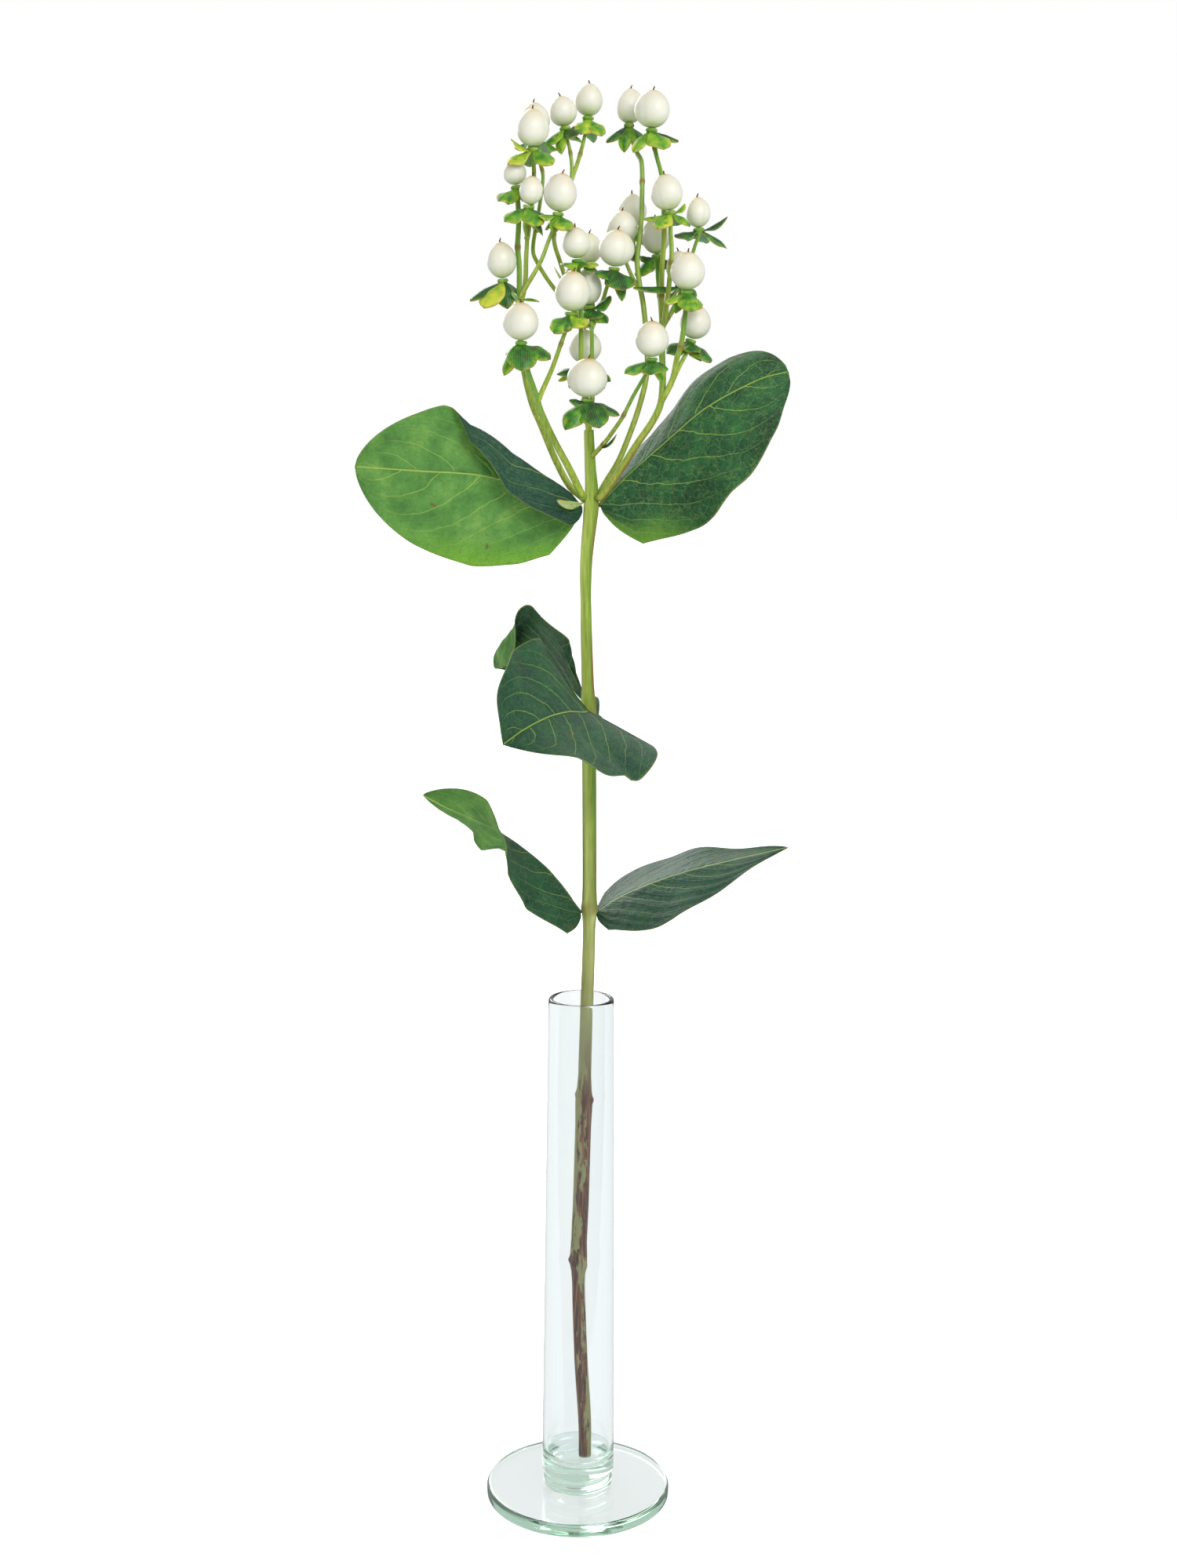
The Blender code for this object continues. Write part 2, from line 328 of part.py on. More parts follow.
def smooth_route(points, count):
    """Points at even steps along the smooth curve through the given ones (Catmull-Rom)."""
    p = np.array(points, float)
    if len(p) == 2:
        return p[0] + np.linspace(0, 1, count)[:, None] * (p[1] - p[0])
    p = np.vstack([2 * p[0] - p[1], p, 2 * p[-1] - p[-2]])
    fine = []
    for a, b, c, d in zip(p, p[1:], p[2:], p[3:]):
        t = np.linspace(0, 1, 12, endpoint=False)[:, None]
        fine.append(0.5 * (2 * b + (c - a) * t + (2 * a - 5 * b + 4 * c - d) * t**2
                           + (3 * b - a - 3 * c + d) * t**3))
    fine = np.vstack(fine + [p[-2:-1]])
    along = np.concatenate([[0], np.cumsum(np.linalg.norm(np.diff(fine, axis=0), axis=1))])
    steps = np.linspace(0, along[-1], count)
    return np.stack([np.interp(steps, along, fine[:, i]) for i in range(3)], 1)


def across_frames(route):
    """Two unit directions across the route at each point, carried along it without twisting."""
    tangent = unit(np.gradient(route, axis=0))
    start = np.array([0.0, 1.0, 0.0]) if abs(tangent[0, 1]) < 0.9 else np.array([1.0, 0.0, 0.0])
    side = unit(start - tangent[0] * (start @ tangent[0]))
    sides = [side]
    for direction in tangent[1:]:
        side = unit(side - direction * (side @ direction))
        sides.append(side)
    sides = np.array(sides)
    return sides, np.cross(tangent, sides)


def tube_faces(stations, sides):
    """Faces of a tube of rings, with a fan of triangles round a middle point at each end."""
    faces = []
    for i in range(stations - 1):
        for j in range(sides):
            a, b = i * sides + j, i * sides + (j + 1) % sides
            faces.append((a, b, b + sides, a + sides))
    last = (stations - 1) * sides
    start_middle, end_middle = stations * sides, stations * sides + 1
    for j in range(sides):
        k = (j + 1) % sides
        faces.append((start_middle, k, j))
        faces.append((end_middle, last + j, last + k))
    return faces


def tube(route, radii, sides, ridge=0.0):
    """Points and faces of a round tube along a route. A ridge raises it on two opposite sides."""
    side, other = across_frames(route)
    turn = np.arange(sides) * 2 * math.pi / sides
    shape = 1 + ridge * np.cos(2 * turn)
    ring = side[:, None] * np.cos(turn)[:, None] + other[:, None] * np.sin(turn)[:, None]
    points = route[:, None] + ring * (shape * radii[:, None])[..., None]
    return np.vstack([points.reshape(-1, 3), route[:1], route[-1:]]), tube_faces(len(route), sides)


def berry_axis(berry):
    """The berry's own long axis: up, leaned to the right and to the back."""
    right, back = math.radians(berry.right), math.radians(berry.back)
    return unit(np.array([math.tan(right), math.tan(back), 1.0]))


def berry_frame(berry):
    axis = berry_axis(berry)
    side = unit(np.cross(np.array([0.0, 1.0, 0.0]), axis))
    return side, np.cross(axis, side), axis


def berry_radius(place):
    """The egg-shaped outline, 0 at the base, 1 at its fullest and drawn out to a blunt point at the top."""
    return np.sin(np.pi * place ** BERRY_SKEW) ** BERRY_ROUNDNESS


def build_berry(name, berry, look):
    side, other, axis = berry_frame(berry)
    turn = np.arange(BERRY_SIDES) * 2 * math.pi / BERRY_SIDES + math.radians(berry.turn)
    lobes = 1 + BERRY_LOBE * np.cos(3 * (turn - math.radians(berry.turn)))
    base = np.array(berry.base)
    points = []
    for place in BERRY_RINGS:
        radius = berry.diameter / 2 * berry_radius(place) * lobes
        ring = np.outer(np.cos(turn) * radius, side) + np.outer(np.sin(turn) * radius, other)
        points.append(base + axis * berry.length * place + ring)
    points = np.vstack(points + [base[None], (base + axis * berry.length)[None]])
    return add_object(name, points, tube_faces(len(BERRY_RINGS), BERRY_SIDES), look)


def stalk_tube(stalk):
    """The tube of one stalk, which flares into the receptacle under its berry."""
    berry = BERRIES[stalk.berry]
    axis = berry_axis(berry)
    top = np.array(berry.base) - axis * GAP
    neck = top - axis * RECEPTACLE_HEIGHT
    length = np.linalg.norm(np.diff(np.array(stalk.route + [tuple(neck)]), axis=0), axis=1).sum()
    count = max(3, int(round(length / STALK_STEP)))
    route = smooth_route(stalk.route + [tuple(neck)], count)
    radii = stalk.width / 2 * np.linspace(1, STALK_TAPER, count)
    route = np.vstack([route, top - axis * RECEPTACLE_EDGE, top])
    radii = np.concatenate([radii, [RECEPTACLE_RADIUS, RECEPTACLE_RADIUS * RECEPTACLE_TOP]])
    return route, radii


def sepal_line(berry, sepal, turn_by, lift_by, places):
    """The middle line of a sepal and its upward and sideways directions: a curve (quadratic Bezier) that leaves
    the receptacle nearly level and ends at the tip. The further a sepal points to the right or left, the more
    it is rolled about this line, with its near margin down."""
    side, other, axis = berry_frame(berry)
    tip = np.array(sepal[:3]) * MM
    rise = tip @ axis
    level = tip - axis * rise
    turn = math.atan2(level @ other, level @ side) + math.radians(turn_by)
    lift = math.atan2(rise, np.linalg.norm(level)) + math.radians(lift_by)
    out = side * math.cos(turn) + other * math.sin(turn)
    reach, rise = np.linalg.norm(tip) * math.cos(lift), np.linalg.norm(tip) * math.sin(lift)
    base = np.array(berry.base)
    root = base - axis * (GAP + SEPAL_ROOT_DEPTH) + out * SEPAL_ROOT_OUT
    knee = root + out * max(0.50 * reach, 0.0030) + axis * (0.0002 + 0.34 * rise)
    tip = base + out * reach + axis * rise
    s = np.asarray(places)[:, None]
    line = (1 - s) ** 2 * root + 2 * s * (1 - s) * knee + s ** 2 * tip
    slope = unit((1 - s) * (knee - root) + s * (tip - knee))
    across = np.cross(axis, out) + 0 * line
    normal = unit(np.cross(slope, across))
    roll = SIDE_ROLL * math.cos(turn) * np.clip(s / 0.4, 0, 1)
    return line, normal * np.cos(roll) - across * np.sin(roll), across * np.cos(roll) + normal * np.sin(roll)


def sepal_parts(berry, sepal, turn_by, lift_by):
    """The middle line, two margins and two ridges of one sepal: a pointed oval blade."""
    spine, normal, across = sepal_line(berry, sepal, turn_by, lift_by, SEPAL_PLACES)
    half = sepal[3] / 2 * MM * SEPAL_OUTLINE
    drop = (SEPAL_CUP * min(1.6, sepal[3] / 5) * SEPAL_CUPPING)[:, None] * normal
    edges = [spine + sign * half[:, None] * across - drop for sign in (-1, 1)]
    return spine, edges, spine + normal * SEPAL_THICKNESS / 2, spine - normal * SEPAL_THICKNESS / 2


def sepal_mesh(spine, edges, upper, lower):
    """A closed blade: an upper and a lower ridge along its middle, meeting at its two margins and its tip."""
    points = np.vstack([edges[0][:3], upper[:3], edges[1][:3], lower[:3], spine[3:]])
    faces = [(0, 6, 9), (0, 3, 6)]
    for i in range(2):
        for a, b in ((0, 3), (3, 6), (6, 9), (9, 0)):
            faces.append((a + i, b + i + 1, b + i))
            faces.append((a + i, a + i + 1, b + i + 1))
    for a, b in ((2, 5), (5, 8), (8, 11), (11, 2)):
        faces.append((a, 12, b))
    return points, faces


def distance_to_rods(points, starts, ends, radii):
    """The distance from each point to the surface of each rod."""
    line = ends - starts
    offset = points[:, None] - starts
    share = np.clip((offset * line).sum(2) / (line * line).sum(1), 0, 1)
    return np.linalg.norm(offset - share[..., None] * line, axis=2) - radii


def obstacles():
    """Every berry and stalk as rods of one radius: starts, ends, radii, the berry that each belongs to, and the
    node that a stalk is in."""
    rods = []
    for name, berry in BERRIES.items():
        radius = berry.diameter / 2
        inner = max(berry.length / 2 - radius, 0.0002)
        middle = np.array(berry.base) + berry_axis(berry) * berry.length / 2
        rods.append((middle - berry_axis(berry) * inner, middle + berry_axis(berry) * inner, radius, name, ""))
    for node, stalks in SPRAYS.items():
        for stalk in stalks:
            route, radii = stalk_tube(stalk)
            rods += [(start, end, radius, stalk.berry, node) for start, end, radius in zip(route, route[1:], radii)]
    return [np.array(column) for column in zip(*rods)]


def fitted_sepal(node, name, sepal, rods, taken):
    """The first of a row of small lifts and turns that keeps the sepal clear of the rest, and points on it."""
    starts, ends, radii, owners, nodes = rods
    near = (owners != name) | (nodes == "")
    slack = np.where(owners == name, OWN_BERRY_SLACK, np.where(nodes == node, OWN_SPRAY_SLACK, 0.0))[near]
    placed = np.vstack(taken) if taken else np.empty((0, 3))
    half = sepal[3] / 2 * MM * np.array([0.4, 0.8])
    best, best_room = None, -1.0
    for lift_by in FIT_LIFTS:
        for turn_by in FIT_TURNS:
            line, normal, across = sepal_line(BERRIES[name], sepal, turn_by, lift_by, np.linspace(0, 1, 7))
            outer = np.vstack([line[1:]] + [line[2:6] + sign * width * across[2:6] for sign in (-1, 1) for width in half])
            room = (distance_to_rods(outer, starts[near], ends[near], radii[near]) + slack).min()
            room = min(SEPAL_CLEARANCE, room - SEPAL_THICKNESS / 2)
            if len(placed):
                room = min(room, np.linalg.norm(outer[:, None] - placed, axis=2).min() - SEPAL_SPACING)
            if room > best_room:
                best, best_room = (turn_by, lift_by, outer), room
            if room >= SEPAL_CLEARANCE:
                return best
    return best


def keep_outer_body(mesh):
    """Leaves only the largest connected surface, so a sealed hollow is filled and a loose scrap dropped."""
    shape = bmesh.new()
    shape.from_mesh(mesh)
    bmesh.ops.dissolve_degenerate(shape, dist=SLIVER, edges=shape.edges)
    bmesh.ops.triangulate(shape, faces=shape.faces)
    if not all(edge.is_manifold for edge in shape.edges):
        shape.clear()
        shape.from_mesh(mesh)
    left = set(shape.faces)
    bodies = []
    while left:
        body, rim = set(), [left.pop()]
        while rim:
            face = rim.pop()
            body.add(face)
            for edge in face.edges:
                for other in edge.link_faces:
                    if other in left:
                        left.remove(other)
                        rim.append(other)
        bodies.append(body)
    bodies.sort(key=len)
    for body in bodies[:-1]:
        bmesh.ops.delete(shape, geom=list(body), context="FACES")
    shape.to_mesh(mesh)
    shape.free()


def fuse(name, pieces, look):
    """One closed body from overlapping pieces: a Boolean union on a collection, applied."""
    base = add_object(name, *pieces[0], look)
    group = bpy.data.collections.new(name + "_pieces")
    for index, piece in enumerate(pieces[1:]):
        obj = add_object(f"{name}_piece_{index}", *piece, look)
        bpy.context.scene.collection.objects.unlink(obj)
        group.objects.link(obj)
    bpy.context.scene.collection.children.link(group)
    union = base.modifiers.new("Union", "BOOLEAN")
    union.operation = "UNION"
    union.operand_type = "COLLECTION"
    union.collection = group
    # The exact solver leaves pinched scraps at the sepals' tips.
    union.solver = "MANIFOLD"
    bpy.context.view_layer.update()
    joined = bpy.data.meshes.new_from_object(base.evaluated_get(bpy.context.evaluated_depsgraph_get()))
    base.modifiers.remove(union)
    keep_outer_body(joined)
    base.data = joined
    for obj in list(group.objects):
        bpy.data.objects.remove(obj)
    bpy.data.collections.remove(group)
    return base


def spray_pieces(node, rods, taken):
    """The stalks and calyces of one node. The points on its sepals join those that later nodes keep clear of."""
    stalks = [tube(*stalk_tube(stalk), STALK_SIDES) for stalk in SPRAYS[node]]
    blades, mine = [], []
    for stalk in SPRAYS[node]:
        for sepal in SEPALS[stalk.berry]:
            turn_by, lift_by, outer = fitted_sepal(node, stalk.berry, sepal, rods, taken)
            mine.append(outer)
            blades.append(sepal_mesh(*sepal_parts(BERRIES[stalk.berry], sepal, turn_by, lift_by)))
    taken += mine
    return stalks + blades


def stem_tube():
    """The main stem, thicker at its leaf nodes."""
    route = smooth_route(STEM_PATH, STEM_STATIONS)
    heights, radii = np.array(STEM_RADII).T
    return tube(route, np.interp(route[:, 2], heights, radii), STEM_SIDES, STEM_RIDGE)


def arc(middle, radius, start, end, count):
    """Points of an arc in the profile plane, from one angle to another in degrees."""
    angles = np.radians(np.linspace(start, end, count))
    return [(middle[0] + radius * math.cos(a), middle[1] + radius * math.sin(a)) for a in angles]


def vase_profile():
    """(radius, height) from the middle of the floor up the inside, over the lip and down the outside."""
    lip = WALL / 2
    inner_rim = TUBE_RIM_RADIUS - WALL
    inner_low = TUBE_LOW_RADIUS - WALL
    curve_width = inner_low - FLOOR_FLAT_RADIUS
    floor_curve = []
    for angle in np.radians(np.linspace(0, 90, 5)):
        floor_curve.append((FLOOR_FLAT_RADIUS + curve_width * math.sin(angle),
                            FLOOR_HEIGHT + FLOOR_CURVE_HEIGHT * (1 - math.cos(angle))))
    middle = (inner_rim + lip, VASE_HEIGHT - lip)
    tube_bottom = arc((TUBE_LOW_RADIUS - TUBE_EDGE, TUBE_LOW_HEIGHT), TUBE_EDGE, 0, -70, 3)
    joint_middle = (JOINT_TOP + FOOT_THICKNESS) / 2
    joint = arc((JOINT_RADIUS - JOINT_EDGE, joint_middle), JOINT_EDGE, 60, -60, 3)
    foot = arc((FOOT_RADIUS - FOOT_EDGE, FOOT_THICKNESS - FOOT_EDGE), FOOT_EDGE, 90, 0, 4)
    foot += arc((FOOT_RADIUS - FOOT_EDGE / 2, FOOT_EDGE / 2), FOOT_EDGE / 2, 0, -90, 3)
    inside = [(0.0, FLOOR_HEIGHT)] + floor_curve
    return inside + arc(middle, lip, 180, 0, 5) + tube_bottom + joint + foot + [(0, 0)]


def build_vase(look):
    """The glass vase, its profile turned round the Z axis."""
    profile = vase_profile()
    mesh = bpy.data.meshes.new("vase")
    mesh.from_pydata([(r, 0, z) for r, z in profile], [(i, i + 1) for i in range(len(profile) - 1)], [])
    mesh.materials.append(look)
    vase = bpy.data.objects.new("vase", mesh)
    bpy.context.scene.collection.objects.link(vase)
    turned = vase.modifiers.new("Turned", "SCREW")
    turned.steps = VASE_SIDES
    turned.render_steps = VASE_SIDES
    turned.use_merge_vertices = True
    turned.merge_threshold = 0.00001
    turned.use_smooth_shade = True
    return vase


def half_angles(half, along, across):
    """The direction across the half, in radians above the level, at each place along and across it."""
    rise = np.interp(along, *np.array(half.rise).T)
    bend = np.interp(along, *np.array(half.bend).T)
    bend_at = np.interp(along, *np.array(half.bend_at).T)
    ramp = np.clip((across[None] - bend_at[:, None]) / half.softness + 0.5, 0, 1)
    ramp = ramp * ramp * (3 - 2 * ramp)
    return np.radians(rise[:, None] + bend[:, None] * ramp)


def rounded_base(along):
    """How much of its width and of its lobes a leaf has near the stem, where its base rounds out."""
    return np.sqrt(np.clip(along / ROUND_BASE, 0.03, 1))


def leaf_width(leaf, along):
    """The leaf's outline: a broad rounded base, widest at its given place, then drawn in to the tip."""
    grow = leaf.base + (1 - leaf.base) * np.sin(np.clip(along / leaf.widest, 0, 1) * np.pi / 2)
    grow = grow * rounded_base(along)
    fall = np.clip((along - leaf.widest) / (1 - leaf.widest), 0, 1)
    return grow * (1 - fall**leaf.tip) ** leaf.point


def leaf_grid(leaf, stations, across):
    """The leaf's middle surface: points at each station along the midrib and each place across, -1 to 1."""
    along = np.linspace(0, 1, stations)
    spine = smooth_route(leaf.midrib, stations)
    tangent = unit(np.gradient(spine, axis=0))
    level = unit(np.stack([tangent[:, 1], -tangent[:, 0], np.zeros(stations)], 1))
    up = np.cross(level, tangent)
    width = leaf_width(leaf, along)
    grid = np.empty((stations, len(across), 3))
    lobes = (leaf.lobes * np.clip(1 - along / LOBES_END, 0, 1) * rounded_base(along))[:, None] * tangent
    fine = np.linspace(0, 1, LEAF_STEPS + 1)
    for half, sign in ((leaf.right, 1), (leaf.left, -1)):
        angles = half_angles(half, along, fine)
        step = (half.width * width / LEAF_STEPS)[:, None]
        out = np.concatenate([np.zeros((stations, 1)), np.cumsum(np.cos(angles[:, :-1]) * step, 1)], 1)
        rise = np.concatenate([np.zeros((stations, 1)), np.cumsum(np.sin(angles[:, :-1]) * step, 1)], 1)
        for column, place in enumerate(across):
            if place * sign < 0 or (place == 0 and sign < 0):
                continue
            reach, lift, angle = (
                np.array([np.interp(abs(place), fine, row) for row in rows])
                for rows in (out, rise, angles))
            ripple = half.wave * place**2 * np.sin(2 * np.pi * leaf.waves * along + sign) * np.sqrt(width)
            reach = reach - ripple * np.sin(angle)
            lift = lift + ripple * np.cos(angle)
            grid[:, column] = spine + sign * reach[:, None] * level + lift[:, None] * up - place**2 * lobes
    return grid


def blade(grid, thickness):
    """A closed blade round a middle surface, with both faces split into triangles alike."""
    rows, columns = grid.shape[:2]
    along = np.gradient(grid, axis=0)
    across = np.gradient(grid, axis=1)
    across[-1] = across[-2]
    normal = unit(np.cross(across, along))
    tip = np.mean(grid[-1], axis=0)
    grid = grid[:-1]
    rows -= 1
    upper = grid + normal[:-1] * thickness / 2
    lower = grid - normal[:-1] * thickness / 2
    count = rows * columns
    points = np.vstack([upper.reshape(-1, 3), lower.reshape(-1, 3), tip[None]])
    faces = []
    for i in range(rows - 1):
        for j in range(columns - 1):
            a = i * columns + j
            b, c, d = a + 1, a + columns + 1, a + columns
            faces += [(a, b, c), (a, c, d), (count + a, count + c, count + b), (count + a, count + d, count + c)]
    for j in range(columns - 1):
        a, b = (rows - 1) * columns + j, (rows - 1) * columns + j + 1
        faces += [(a, b, 2 * count), (count + b, count + a, 2 * count)]
        faces += [(j + 1, j, count + j), (j + 1, count + j, count + j + 1)]
    for i in range(rows - 1):
        a, b = i * columns, (i + 1) * columns
        faces += [(a, b, count + b), (a, count + b, count + a)]
        a, b = a + columns - 1, b + columns - 1
        faces += [(b, a, count + a), (b, count + a, count + b)]
    a, b = (rows - 1) * columns, rows * columns - 1
    faces += [(a, 2 * count, count + a), (2 * count, b, count + b)]
    return points, faces


def build_leaf(name, leaf, look):
    return add_object(name, *blade(leaf_grid(leaf, LEAF_STATIONS, LEAF_ACROSS), LEAF_THICKNESS), look)


def main():
    clear_scene()
    glass = material("clear_glass", "#F3F7FB", 0.03, 1.0)
    green = material("green_stalk", "#7F9A3C", 0.5)
    leaf_green = material("leaf_green", "#2E5D47", 0.5)
    ivory = material("ivory_berry", "#EDEBDD", 0.35)
    build_vase(glass)
    rods, taken = obstacles(), []
    for node in SPRAYS:
        pieces = spray_pieces(node, rods, taken)
        fuse(node, [stem_tube()] + pieces if node == "main_stem" else pieces, green)
    for name, leaf in LEAVES.items():
        build_leaf(name, leaf, leaf_green)
    for name, berry in BERRIES.items():
        build_berry(name, berry, ivory)


main()
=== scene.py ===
"""Looks for the hypericum in its glass bud vase.

Every shape is a stack of closed rings of points, worked out with numpy from the same named values as the CAD
solids, in metres and in the CAD's own frame: a leaf and a sepal are thin rings round a blade, a stalk is round
rings along a route, a berry and the vase are rings about an axis.
"""

from collections import namedtuple
import math

import bpy
from mathutils import Matrix, Vector
import numpy as np


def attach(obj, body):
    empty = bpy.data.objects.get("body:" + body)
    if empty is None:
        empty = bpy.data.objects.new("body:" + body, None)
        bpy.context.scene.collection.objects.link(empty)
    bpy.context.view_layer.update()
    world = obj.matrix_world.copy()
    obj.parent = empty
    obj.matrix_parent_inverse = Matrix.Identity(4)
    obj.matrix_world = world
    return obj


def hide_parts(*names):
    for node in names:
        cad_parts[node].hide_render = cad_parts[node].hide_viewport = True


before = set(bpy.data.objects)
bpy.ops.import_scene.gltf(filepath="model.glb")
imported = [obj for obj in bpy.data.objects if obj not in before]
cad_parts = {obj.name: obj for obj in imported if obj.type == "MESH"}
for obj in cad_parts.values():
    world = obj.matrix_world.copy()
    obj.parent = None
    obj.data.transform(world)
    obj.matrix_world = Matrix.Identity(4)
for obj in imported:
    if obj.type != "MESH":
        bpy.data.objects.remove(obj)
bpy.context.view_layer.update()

# The gap between two parts that touch, and a millimetre, in metres.
GAP = 0.0003
MM = 0.001

# --------------------------------------
# The object's own values, as in the CAD
# --------------------------------------
VASE_HEIGHT = 0.200
FOOT_RADIUS = 0.0356
FOOT_THICKNESS = 0.0049
FOOT_EDGE = 0.0016
JOINT_RADIUS = 0.0134
JOINT_TOP = 0.0084
JOINT_EDGE = 0.0016
TUBE_LOW_RADIUS = 0.0140
TUBE_LOW_HEIGHT = 0.0115
TUBE_RIM_RADIUS = 0.0124
TUBE_EDGE = 0.0020
WALL = 0.0019
FLOOR_HEIGHT = 0.0140
FLOOR_FLAT_RADIUS = 0.0055
FLOOR_CURVE_HEIGHT = 0.0065

STEM_PATH = [
    (0.0027, 0.0015, FLOOR_HEIGHT + 2 * GAP), (0.0025, 0.0020, 0.0300), (0.0008, 0.0035, 0.0560),
    (-0.0004, 0.0047, 0.0905), (0.0004, 0.0057, 0.1185), (0.0012, 0.0063, 0.1526), (0.0021, 0.0066, 0.1950),
    (0.0026, 0.0070, 0.2140), (0.0028, 0.0076, 0.2373), (0.0024, 0.0080, 0.2800), (0.0018, 0.0080, 0.3100),
    (0.0008, 0.0080, 0.3400), (0.0006, 0.0081, 0.3630), (0.0024, 0.0085, 0.3850), (0.0018, 0.0088, 0.3990),
    (0.0012, 0.0090, 0.4114),
]
STEM_RADII = [
    (0.0000, 0.0025), (0.0400, 0.0029), (0.0850, 0.0028), (0.0925, 0.0033), (0.1010, 0.0029), (0.1470, 0.0029),
    (0.1595, 0.0032), (0.1680, 0.0026), (0.2250, 0.0024), (0.2330, 0.0030), (0.2420, 0.0027), (0.2980, 0.0027),
    (0.3080, 0.0030), (0.3180, 0.0023), (0.3500, 0.0020), (0.3650, 0.0023), (0.3840, 0.0028), (0.3960, 0.0021),
    (0.4114, 0.0018),
]
STEM_RIDGE = 0.09
# Where leaves were pulled off: height, the side in degrees round the stem and how far the scar stands out.
SCARS = [(0.0940, 180, 0.0007), (0.1582, 15, 0.0007), (0.1604, 195, 0.0006), (0.0915, 20, 0.0005)]
SCAR_HALF_HEIGHT = 0.0011
LEAF_NODES = [0.0925, 0.1595, 0.2330, 0.3080]
# Which way the two ridges face: heights, and degrees round the stem.
RIDGE_TURNS = ([0.0, 0.089, 0.095, 0.157, 0.163, 0.230, 0.236, 0.305, 0.311, 1.0],
               [0, 0, 90, 90, 30, 30, 150, 150, 130, 130])

# A stalk thins towards its berry and flares into a receptacle under it.
STALK_TAPER = 0.72
STALK_FOOT = 0.0016
RECEPTACLE_RADIUS = 0.0021
RECEPTACLE_HEIGHT = 0.0024
RECEPTACLE_EDGE = 0.0008
RECEPTACLE_TOP = 0.85
# Where a stalk has a swollen brown joint, as a share of its length.
JOINTS = {"berry_03": (0.86, 0.47), "berry_04": (0.39,), "berry_25": (0.50, 0.19), "berry_19": (0.50,),
          "berry_15": (0.83,), "berry_06": (0.14, 0.88), "berry_07": (0.81,), "berry_02": (0.83, 0.55),
          "berry_12": (0.72,), "berry_22": (0.62,), "berry_13": (0.55,), "berry_05": (0.80,)}

# Sepals: their thickness, cup and roll, where they root under the berry, how far they keep from what is near
# them, and the lifts and turns in degrees that are tried for that.
CAD_SEPAL_THICKNESS, SEPAL_THICKNESS = 0.0009, 0.0005
SEPAL_CUP = 0.0009
SIDE_ROLL = math.radians(36)
SEPAL_ROOT_DEPTH = 0.0012
SEPAL_ROOT_OUT = 0.0010
SEPAL_CLEARANCE = 0.0006
SEPAL_SPACING = 0.0014
OWN_BERRY_SLACK = 0.0003
OWN_SPRAY_SLACK = 0.0006
FIT_LIFTS = (0, 12, -12, 24, -24, 36, -36, 48)
FIT_TURNS = (0, 10, -10, 20, -20, 30, -30)

# A berry's three-lobed swell and the powers of its outline.
BERRY_LOBE = 0.03
BERRY_SKEW = 0.92
BERRY_ROUNDNESS = 0.50

# A leaf's thickness here, half of the CAD's, and the share of its length in which its base lobes end.
LEAF_THICKNESS = 0.0004
LOBES_END = 0.25
# The share of a leaf's length in which its base rounds out from the stem.
ROUND_BASE = 0.07

